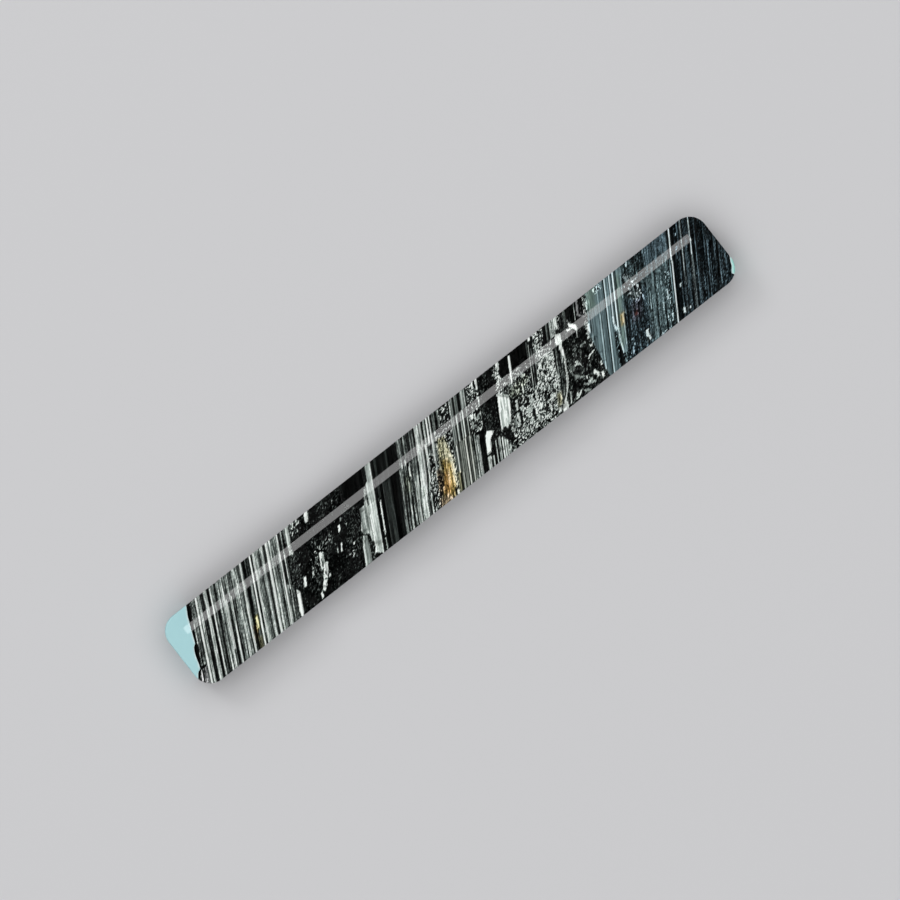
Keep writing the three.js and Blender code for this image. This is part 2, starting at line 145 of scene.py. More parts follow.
middleFaces = [
    ("night", -18.5, -17.85), ("dark", -17.75, -17.2, 1, 9), ("dark", -16.5, -16.1, -9, 4),
    ("dark", -15.6, -14.7, -9, 3), ("night", -13.2, -12.5), ("black", -12.6, -12, 3, 9),
    ("dim", -12.3, -12.05, -9, 3), ("mid", -11.98, -11.6, -9, 3), ("dark", -11.55, -11.35, -9, 3),
    ("mid", -11.15, -10.88, -9, 3), ("dark", -10.76, -10.55, -9, 3), ("light", -10.48, -10.14, -9, 0),
    ("night", -10.06, -9.6, -9, -2.5), ("dim", -10.06, -9.6, -2.5, 0.5), ("bright", -10.1, -9.7, 0.8, 2.4),
    ("mid", -9.36, -9.12, -9, -5), ("grey", -9.36, -9.1, -5, 0), ("mid", -9.08, -8.82, -9, 3),
    ("light", -8.84, -8.48, -9, 0), ("mid", -8.8, -8.48, 0, 3), ("bright", -8.5, -7.98, -9, 0),
    ("white", -8.44, -8.08, -4, 0), ("mid", -8.5, -8.1, 0, 3), ("grey", -7.9, -7.55, -9, -2.5),
    ("black", -7.96, -7.68, -2.5, 9), ("bright", -7.35, -6.3, -9, -4), ("bright", -7.5, -6.5, -4, 9),
    ("white", -6.46, -6.04, -4, 0), ("white", -6.54, -6.1, 0, 4), ("mid", -6.48, -6.28, 4, 9),
    ("white", -6.26, -5.88, 4, 9), ("dim", -6.12, -5.68, -9, -4.4), ("dark", -6.04, -5.72, -4.4, -2.6),
    ("black", -5.94, -5.62, -2.6, 0), ("black", -5.98, -5.66, 0, 4), ("black", -5.84, -5.52, 4, 9),
    ("light", -5.46, -5.05, -9, -4.6), ("bright", -5.46, -5.1, -2.6, 0), ("bright", -5.56, -5.16, 0, 4),
    ("light", -5.36, -5.08, 4, 9), ("dark", -5.02, -4.72, 4, 9), ("white", -4.66, -4.3, 3.5, 9),
    ("grey", -4.28, -3.98, 3.5, 9), ("white", -3.94, -3.62, 4, 9), ("bright", -3.96, -3.55, 0, 4),
    ("mid", -3.7, -3.2, -2.6, 0), ("night", -3.5, -3.26, 4, 9), ("dim", -3.5, -3.1, 0, 4),
    ("dim", -3.15, -2.9, 4.8, 9), ("dark", -2.88, -2.68, 4.8, 9), ("grey", -2.62, -2.32, 4.8, 9),
    ("dark", -2.3, -1.95, 4.8, 9), ("mid", -1.92, -1.55, 4.8, 9), ("mid", -11.9, -11.42, 3, 9),
    ("dim", -11.4, -10.95, 4, 9), ("night", -10.92, -10.45, 4, 9), ("mid", -10.36, -9.9, 4, 9),
    ("dim", -9.88, -9.64, 4, 9), ("night", -9.62, -9.25, 3, 9), ("dark", -9.22, -8.85, 3, 9),
    ("dim", -8.8, -8, 3, 9),
]

warmFaces = [
    ("night", 0.85, 1.1, 4.8, 9), ("mid", 1.25, 1.52, 4.8, 9), ("grey", 1.52, 1.68, 4.8, 9),
    ("light", 1.68, 1.96, 4.8, 9), ("black", 2.1, 2.32, 4.8, 9), ("mid", 2.45, 2.76, 4.8, 9),
    ("dim", 2.78, 3.22, 4.8, 9), ("black", 3.28, 3.74, 4.8, 9), ("dim", 3.84, 4.1, 4.8, 9),
    ("light", 4.14, 4.52, 4.8, 9), ("mid", 4.54, 4.84, 4.8, 9), ("light", 4.86, 5.16, 4.8, 9),
    ("dark", 5.3, 5.7, 4.8, 9), ("mid", 1.15, 1.6, 0, 4.8), ("light", 1.65, 1.96, 0, 4.8),
    ("night", 2.06, 2.28, 0, 4.8), ("light", 2.36, 2.74, 0, 4.8), ("dark", 2.84, 3.06, 0, 4.8),
    ("black", 3.06, 3.3, 0, 4.8), ("mid", 3.38, 3.74, 0, 4.8), ("light", 3.88, 4.26, 0, 4.8),
    ("dark", 4.42, 4.76, 0, 4.8), ("light", 4.9, 5.16, 0, 4.8), ("grey", 0.9, 1.55, -5, 0),
    ("light", 1.56, 1.92, -5, 0), ("mid", 0.9, 1.5, -9, -5), ("dark", 1.7, 1.9, -9, -5),
    ("dark", 2, 2.28, -3, 0), ("dim", 1.98, 2.25, -5, -3), ("mid", 2.06, 2.5, -9, -5),
    ("mid", 2.34, 2.66, -5, 0), ("dim", 2.6, 3, -9, 0), ("mid", 3.1, 3.46, -9, 0),
    ("light", 3.72, 4.1, -9, 0), ("dim", 4.32, 4.66, -9, 0), ("light", 4.74, 5.08, -9, 0),
    ("dark", 5.24, 5.7, -3, 0), ("dim", 5.24, 5.76, -9, -3), ("light", 5.88, 6.1, -9, -0.5),
    ("dim", 6.14, 6.42, -9, -0.8), ("mid", 6.46, 6.72, -9, -1), ("light", 6.72, 7.1, -9, -1.2),
    ("black", 7.18, 8.38, -9, -1.3),
]

blackFaces = [
    ("bright", 8.4, 8.95, -9, -5.8), ("white", 8.98, 9.25, -9, -5.9), ("black", 9.3, 9.62, -9, -5.6),
    ("light", 9.65, 10, -9, -6.2), ("black", 10.05, 10.5, -9, -3.6), ("bright", 10.62, 10.92, -9, -4),
    ("night", 11, 11.35, -9, -3.8), ("light", 11.4, 11.7, -9, -4), ("bright", 11.7, 11.9, -9, -4.1),
    ("black", 12.05, 12.2, -9, -4.2), ("bright", 12.22, 12.6, -9, -4.3), ("dark", 12.62, 12.76, -9, -4.7),
    ("bright", 12.78, 13.15, -9, -4.9), ("bright", 13.2, 13.6, -9, -5.2), ("mid", 13.7, 14.3, -9, -6.4),
    ("black", 13.8, 15.95, 5, 9), ("black", 16.7, 20.8, 4.8, 9), ("dim", 20.6, 20.85, 0, 7.8),
    ("light", 21.02, 21.28, -1, 7), ("night", 21.2, 21.55, -0.8, 4.9), ("dim", 21.6, 21.75, -0.4, 6),
    ("black", 21.8, 22.2, -0.2, 4.7), ("mid", 22.25, 22.5, 0.5, 5.5), ("black", 24.8, 25.6, 5, 9),
    ("dim", 25.6, 26.1, 4, 9), ("night", 26.1, 26.4, 5, 9), ("mid", 26.5, 27.1, 5, 9),
    ("light", 27.15, 27.5, 5.8, 9), ("bright", 27.5, 28.35, 6, 9), ("mid", 27.2, 27.8, 5, 6),
    ("dim", 27.22, 27.42, -2, 4), ("dark", 30.1, 30.5, 5.2, 9), ("black", 30.6, 32.55, 5.4, 9),
    ("mid", 32.6, 32.85, 5, 9), ("black", 32.9, 33.1, 5, 9),
]

slateFaces = [
    ("light", 36.15, 36.5, -0.5, 6.6), ("mid", 38.35, 38.72, 3, 9), ("light", 38.35, 38.74, -6.4, 3),
    ("grey", 38.92, 39.12, -7, 9), ("mid", 39.4, 39.7, 0, 9), ("night", 39.88, 40.16, -9, 9),
    ("light", 40.3, 40.68, -9, 9), ("white", 41.42, 41.76, 0.5, 9), ("light", 41.76, 41.94, -1.5, 9),
    ("grey", 41.96, 42.12, -1, 9), ("mid", 42.12, 42.28, -1.5, 9), ("white", 42.32, 42.66, -1.6, 9),
    ("dim", 42.84, 43.26, -3, 5), ("dark", 42.9, 43.24, 5, 9), ("mid", 43.5, 43.8, -9, 9),
    ("light", 43.8, 44.14, -5, 0.5), ("mid", 43.8, 44.12, 0.5, 9), ("dim", 44.26, 44.8, 0, 9),
    ("black", 44.9, 45.15, -9, 1), ("night", 45.2, 45.6, -5, 2.8), ("dim", 49.9, 50.2),
    ("light", 50.56, 50.88, -2.6, 0.4), ("dim", 51, 51.3), ("grey", 51.45, 51.95, -9, 4),
    ("dark", 52.12, 52.32), ("grey", 53.06, 53.34), ("dark", 54.06, 54.34), ("grey", 54.95, 55.2),
    ("dim", 55.5, 55.72, 3, 9), ("dark", 55.86, 56.08, -7, -2.5), ("dim", 56.3, 56.5, -6, -0.5),
    ("light", 56.08, 56.34, -4.6, 3.2), ("night", 56.05, 56.4, 4, 9), ("white", 56.62, 56.94, -9, 2.4),
    ("white", 56.5, 56.8, 2.4, 9), ("night", 57.02, 57.7), ("dim", 58.4, 58.68),
    ("mid", 59.12, 59.46, 4, 9), ("mid", 59.26, 59.56, -1.6, 4), ("mid", 59.44, 59.74, -3, -1.6),
    ("dark", 60.05, 60.4), ("grey", 61.6, 61.84, -9, -2.5), ("grey", 61.5, 61.8, -2.5, 1),
    ("mid", 61.38, 61.7, 1, 4), ("light", 61.26, 61.54, 4, 9), ("dim", 62.52, 62.8), ("dark", 64.52, 64.74),
    ("dim", 65.28, 65.5, -9, 1), ("dim", 65.72, 65.9), ("dark", 66.75, 66.95),
    ("mid", 67.95, 68.1, -7.5, 0),
]
faces = leftFaces + middleFaces + warmFaces + blackFaces + slateFaces

# The ground that the crystals stand in: kind, the shades of its dark, middling and bright tenths, whose paler
# grains are painted glints, and its outline as (station, y) corners.
grounds = [
    ("striped", (0.1, 0.4, 0.7), [(-66, 9), (-66, -9), (-40, -9), (-40, 9)]),
    ("speckled", (0.1, 0.36, 0.62), [(-64.3, 9), (-64.1, 3), (-63.8, -2), (-62.8, -4), (-62.8, 9)]),
    ("striped", (0.15, 0.4, 0.65), [(-65.6, -9), (-65.2, -4.2), (-62.8, -4.2), (-62.8, -9)]),
    ("break", (0.005, 0.03, 0.13), [(-40.75, 3.2), (-40.75, -2), (-39.9, -3), (-38.9, -4), (-37.2, -4.4),
        (-33.6, -9), (-23.4, -9), (-23.3, -4), (-22.7, -2), (-22.7, 2.2), (-20.4, 4), (-20.2, 9),
        (-36.6, 9), (-39.4, 5.2)]),
    ("break", (0.005, 0.04, 0.16), [(-40.4, 2.9), (-40.3, -2), (-38.2, -3.2), (-35, -6.4), (-32.6, -6.5),
        (-31.5, -1.6), (-30, 1.6), (-36, 3)]),
    ("break", (0.005, 0.03, 0.1), [(-38.9, -4), (-37.2, -4.4), (-32.4, -9), (-38.9, -9)]),
    ("break", (0.005, 0.02, 0.08), [(-30.6, -2.4), (-27.6, -2.6), (-25.8, -5.2), (-26.2, -9), (-30.8, -9)]),
    ("grains", (0.04, 0.18, 0.44), [(-39.2, 9), (-39.2, 6.2), (-37.6, 6), (-36.4, 6.4), (-36.2, 9)]),
    ("break", (0.005, 0.04, 0.12), [(-34, 9), (-33.8, 6), (-28, 5.4), (-26.6, 9)]),
    ("smooth", (0.005, 0.015, 0.04), [(-26.5, 9), (-25.4, 4.6), (-22.7, 2.5), (-20.6, 4), (-20.2, 9)]),
    ("smooth", (0.005, 0.035, 0.09), [(-18.5, 9), (-18.5, -9), (-12.5, -9), (-12.5, 9)]),
    ("striped", (0.08, 0.24, 0.55), [(-12.5, 9), (-12.5, -9), (-1, -9), (-1, 9)]),
    ("grains", (0.015, 0.1, 0.34), [(-6.9, -9), (-6.7, -4.2), (-5.9, -3.9), (-5.4, -3), (-5.1, 1),
        (-4.1, 2.5), (-3.9, 0.5), (-3, -0.5), (-2.8, -3), (-3.2, -9)]),
    ("grains", (0.02, 0.13, 0.44), [(-2, 9), (-1.3, 2.6), (-0.3, -2), (0.3, -9), (1.2, -9), (1.2, 9)]),
    ("grains", (0.01, 0.08, 0.36), [(-2, 9), (-1.8, 4.9), (1.2, 4.9), (1.2, 9)]),
    ("grains", (0.1, 0.3, 0.55), [(-3.4, 3.4), (-3.2, 1), (-2.9, -0.8), (-1.8, -0.6), (-1.2, 4.4),
        (-2.4, 4.6)]),
    ("striped", (0.14, 0.28, 0.5), [(5.2, 0), (5.2, -9), (8.4, -9), (8.4, -1.2)]),
    ("grains", (0.005, 0.03, 0.3), [(5.4, 9), (5.2, 0.2), (6, -0.8), (7, -1.2), (8.2, -1.6), (8.3, 9)]),
    ("break", (0.003, 0.014, 0.12), [(8.4, 9), (8.4, -1.6), (12.4, -3), (12.3, 9)]),
    ("grains", (0.03, 0.17, 0.6), [(12.1, 9), (12.1, 4), (12.6, 2.9), (15.3, 1), (16.6, 1.4), (16.6, 4.6),
        (13.6, 5), (13.7, 9)]),
    ("grains", (0.015, 0.11, 0.38), [(14.6, -2), (15.5, 0.6), (16.4, 4.9), (21.2, 4.9), (21.2, -1.5),
        (17, -3)]),
    ("grains", (0.04, 0.34, 0.74), [(15.4, -9), (14.6, -6), (14.8, -3), (17, -2), (21.2, -1), (21.6, -9)]),
    ("grains", (0.07, 0.39, 0.77), [(21.2, 4.9), (21.2, -9), (27.6, -9), (27.5, -5), (27.2, -2),
        (26.9, 0), (26.9, 4.9)]),
    ("grains", (0.04, 0.2, 0.5), [(13.6, -5.4), (13.6, -9), (19, -9), (17, -7.4), (15, -5.8)]),
    ("grains", (0.05, 0.24, 0.66), [(22.4, 9), (22.3, 4.8), (24.8, 4.8), (24.8, 9)]),
    ("fibrous", (0.02, 0.1, 0.31), [(26.8, 9), (26.8, 0), (27.3, -2), (27.6, -6.8), (28.6, -6),
        (29.2, -4), (29.1, -1), (28.8, 2), (28.8, 9)]),
    ("lumps", (0.02, 0.07, 0.2), [(28.4, 2.6), (29.4, 0), (29, -4), (28, -9), (40, -9), (38.4, -6),
        (36.7, -1.5), (35.9, 0.5), (35.2, 2.6)]),
    ("break", (0.01, 0.04, 0.14), [(29.4, 3.4), (29.2, 1.2), (33, 0.7), (35.6, 1), (35.6, 3.4)]),
    ("lumps", (0.02, 0.07, 0.2), [(29, -3), (31, -4), (32.4, -6.6), (31, -7.6), (29.6, -6)]),
    ("grains", (0.03, 0.2, 0.6), [(28.3, 9), (28.4, 5.6), (29.3, 5.6), (29.4, 9)]),
    ("striped", (0.03, 0.08, 0.24), [(29.4, 9), (28.6, 3.2), (35.4, 3.2), (35.6, 9)]),
    ("grains", (0.1, 0.3, 0.9), [(35, 9), (35, 5), (34.9, 0.8), (35.6, 0.4), (35.9, 3), (35.9, 9)]),
    ("clean", (0.4, 0.45, 0.51), [(35.8, 9), (35.6, 3), (35.95, 0), (36.8, -2), (37.7, -4), (38.3, -6),
        (39.2, -8), (39.7, -9), (44.2, -9), (44.3, 9)]),
    ("speckled", (0.09, 0.17, 0.27), [(44.2, 9), (44.2, -9), (50, -9), (50, 9)]),
    ("speckled", (0.18, 0.27, 0.38), [(49.9, 9), (49.9, -9), (56.4, -9), (56.4, 9)]),
    ("speckled", (0.2, 0.25, 0.31), [(49.9, 9), (49.9, 4.8), (56.4, 4.8), (56.4, 9)]),
    ("grains", (0.11, 0.24, 0.45), [(54.9, 1.6), (54.6, -6.8), (55.9, -7.4), (55.9, 1)]),
    ("speckled", (0.04, 0.1, 0.18), [(56.6, 9), (56.6, -9), (73, -9), (73, 9)]),
    ("speckled", (0.01, 0.05, 0.12), [(62.95, 9), (62.95, -9), (64.6, -9), (64.6, 9)]),
    ("speckled", (0.03, 0.1, 0.2), [(62.6, -1), (62.4, -9), (66, -9), (66.4, -2)]),
]

# Broken ground that lies over the crystal faces, written the same way.
patches = [
    ("fibrous", (0.3, 0.56, 0.86), [(-2.6, 3), (-1, 2.6), (-0.5, 1), (0.1, -0.6), (0.6, -2.4), (0.6, -6),
        (0.1, -7.6), (-0.3, -9), (-3.6, -9), (-3.1, -5.6), (-2.8, -2), (-2.9, 0.6)]),
    ("striped", (0.56, 0.76, 0.95), [(-1.6, 2.2), (-0.9, 2.2), (-0.5, 0), (0.1, -1.6), (0.5, -3.4),
        (0.4, -6), (0, -6.6), (-0.4, -4), (-0.9, -1.6), (-1.6, 0.4)]),
    ("striped", (0.4, 0.53, 0.72), [(-2.7, -5), (-2, -2.4), (-0.9, -1.6), (-0.4, -4), (-0.3, -6.8),
        (-1.6, -6.4)]),
    ("striped", (0.34, 0.46, 0.6), [(-3.5, -6.4), (-2.5, -5.8), (-1.5, -9), (-3.9, -9)]),
    ("striped", (0.12, 0.26, 0.42), [(-3.15, -4.9), (-2.55, -5.1), (-2.4, -7.4), (-3, -7.6)]),
    ("striped", (0.24, 0.36, 0.52), [(-1.7, -5.1), (-1.1, -5.1), (-1.1, -7.4), (-1.7, -7.4)]),
    ("striped", (0.1, 0.28, 0.48), [(-2.9, 0), (-1.72, 0), (-1.75, -2), (-2.2, -2.5), (-2.9, -2.1)]),
    ("break", (0.03, 0.11, 0.28), [(-3.5, -1.4), (-2.7, -2.2), (-2.1, -3), (-2.5, -4.8), (-3, -5.6),
        (-3.6, -6)]),
    ("grains", (0.01, 0.045, 0.22), [(-35.4, 0), (-33.6, 1.1), (-31, 1.2), (-30.6, 0.5), (-32, -0.2),
        (-33.4, -3.4), (-35.6, -3)]),
    ("grains", (0.02, 0.15, 0.6), [(-26.3, -4), (-25.4, -4), (-25.2, -4.9), (-26.2, -4.9)]),
    ("clean", (0.46, 0.53, 0.62), [(-22.6, 1.9), (-21.1, 1.8), (-21.1, -3.3), (-22.6, -2.7),
        (-22.95, -1.7), (-22.8, -0.8), (-22.5, 0.5)]),
    ("clean", (0.5, 0.58, 0.68), [(-22.7, -2.8), (-21.8, -3.2), (-21.6, -5), (-21.5, -9), (-23.2, -9),
        (-23.2, -6), (-23.1, -4.5)]),
    ("break", (0.01, 0.08, 0.24), [(-21.7, -3.4), (-21.1, -3.5), (-20.9, -4.8), (-20.5, -5.2),
        (-20.4, -9), (-21.5, -9), (-21.6, -5)]),
    ("clean", (0.66, 0.76, 0.86), [(-20.95, 4.5), (-20.4, 4.6), (-20.4, 1.2), (-20.3, -4.9),
        (-20.85, -4.8), (-21.15, -3.4), (-21.3, 1.9)]),
    ("clean", (0.6, 0.68, 0.78), [(-20.3, 5), (-19.8, 5.3), (-19.85, 9), (-18.5, 9), (-18.5, 1.2),
        (-20.3, 1.2)]),
    ("clean", (0.66, 0.74, 0.86), [(-20.5, 1.3), (-18.6, 1.3), (-18.6, -9), (-20.5, -7.1), (-20.3, -6.3),
        (-20.5, -5), (-20.6, -3)]),
    ("clean", (0.66, 0.79, 0.92), [(12.55, 2.85), (13.3, 2.6), (14.3, 2.1), (15.1, 1.5), (15.2, 0.9),
        (15.5, 0.3), (15.35, -1), (15.2, -2), (15, -2.9), (14.7, -3.3), (14.3, -3.2), (14.1, -3.9),
        (13.8, -3.6), (13.5, -3.1), (12.95, -3), (12.65, -3.7), (12.4, -3.4), (12.4, -1.5)]),
    ("break", (0.01, 0.06, 0.2), [(15.45, 0.6), (16.3, 0.6), (16.35, -0.6), (16, -2.6), (15.2, -2.9),
        (15.4, -1)]),
    ("break", (0.01, 0.05, 0.15), [(10, -3.1), (11, -2.9), (12, -3.2), (12.6, -3.7), (13.3, -3.7),
        (14, -4.3), (14.8, -4.9), (15.3, -5.8), (16.2, -6.9), (17.4, -7.6), (17.4, -8.2), (16, -7.7),
        (15, -6.9), (14.2, -6), (13.6, -5.6), (13, -5), (12.4, -4.4), (11.8, -4), (11, -3.8),
        (10.3, -3.8), (9.9, -4.6), (9.9, -5.8), (9.6, -5.7)]),
    ("break", (0.01, 0.08, 0.3), [(17, -0.5), (17.6, -0.6), (17.8, -3), (17.6, -5), (17.1, -5.2),
        (17, -3)]),
    ("break", (0.01, 0.1, 0.34), [(20.1, -3.8), (20.8, -4), (20.9, -6), (20.2, -6.2)]),
    ("grains", (0.02, 0.14, 0.5), [(23.1, -2.2), (24.2, -1.8), (24.6, -3.4), (24.2, -6), (23.2, -6.4),
        (23, -4)]),
    ("grains", (0.02, 0.13, 0.42), [(20.4, -6.6), (22, -6.4), (22.2, -9), (20.4, -9)]),
    ("grains", (0.02, 0.13, 0.5), [(23.8, -7.2), (26, -6.6), (26, -9), (23.8, -9)]),
    ("grains", (0.02, 0.12, 0.44), [(15, -6.4), (17, -6.8), (20, -7), (20.6, -9), (15, -9)]),
    ("grains", (0.01, 0.08, 0.34), [(16.6, 3), (20.8, 3), (20.8, 1.6), (19, 1.4), (17.4, 2), (16.6, 0.8)]),
    ("break", (0.02, 0.12, 0.34), [(15.4, 1.8), (17, 0.5), (18, 0), (17.8, -0.7), (16.2, 0)]),
    ("grains", (0.2, 0.6, 0.95), [(24.8, 2.6), (26, 2.4), (26.2, 0), (24.6, 0.4)]),
    ("grains", (0.24, 0.56, 0.85), [(24.6, -3), (26, -3.4), (26.2, -5), (25, -5)]),
    ("fibrous", (0.3, 0.6, 0.85), [(21.8, -3.6), (22.9, -3.6), (22.9, -4.9), (21.6, -4.8)]),
    ("striped", (0.36, 0.5, 0.62), [(26.3, -4.2), (27.3, -4.4), (27.4, -6.6), (26.4, -6.8)]),
    ("fibrous", (0.25, 0.5, 0.66), [(28, 1.9), (28.9, 1.6), (29, 0.2), (28.3, 0)]),
    ("grains", (0.04, 0.22, 0.52), [(5.8, 9), (5.8, 4.9), (6.8, 4.9), (6.8, 9)]),
    ("grains", (0.25, 0.45, 0.9), [(37.3, 8.4), (37.4, 7.2), (38.2, 6.9), (39.4, 6.9), (39.2, 8.4)]),
    ("break", (0.02, 0.1, 0.3), [(41.5, -1.7), (42.2, -2), (42.4, -3.6), (42.7, -5), (43.2, -6.2),
        (45, -6.4), (45, -9), (42, -9), (41.9, -7.6), (41.4, -4)]),
    ("grains", (0.03, 0.13, 0.4), [(45, 6.2), (45.7, 6), (46.2, 4), (46.2, 2.6), (45.4, 2.8), (45.1, 4.2)]),
    ("grains", (0.05, 0.25, 0.65), [(46.6, 4.4), (47.4, 4.4), (48.6, 1.8), (48.5, 0.6), (47.9, 0.3),
        (47.1, 1.4)]),
    ("grains", (0.04, 0.2, 0.6), [(52.6, -7.8), (54.8, -7.8), (54.8, -9), (52.4, -9)]),
    ("speckled", (0.12, 0.3, 0.5), [(53.6, -3.2), (54.4, -3.2), (54.7, -5.4), (53.8, -5.2)]),
]
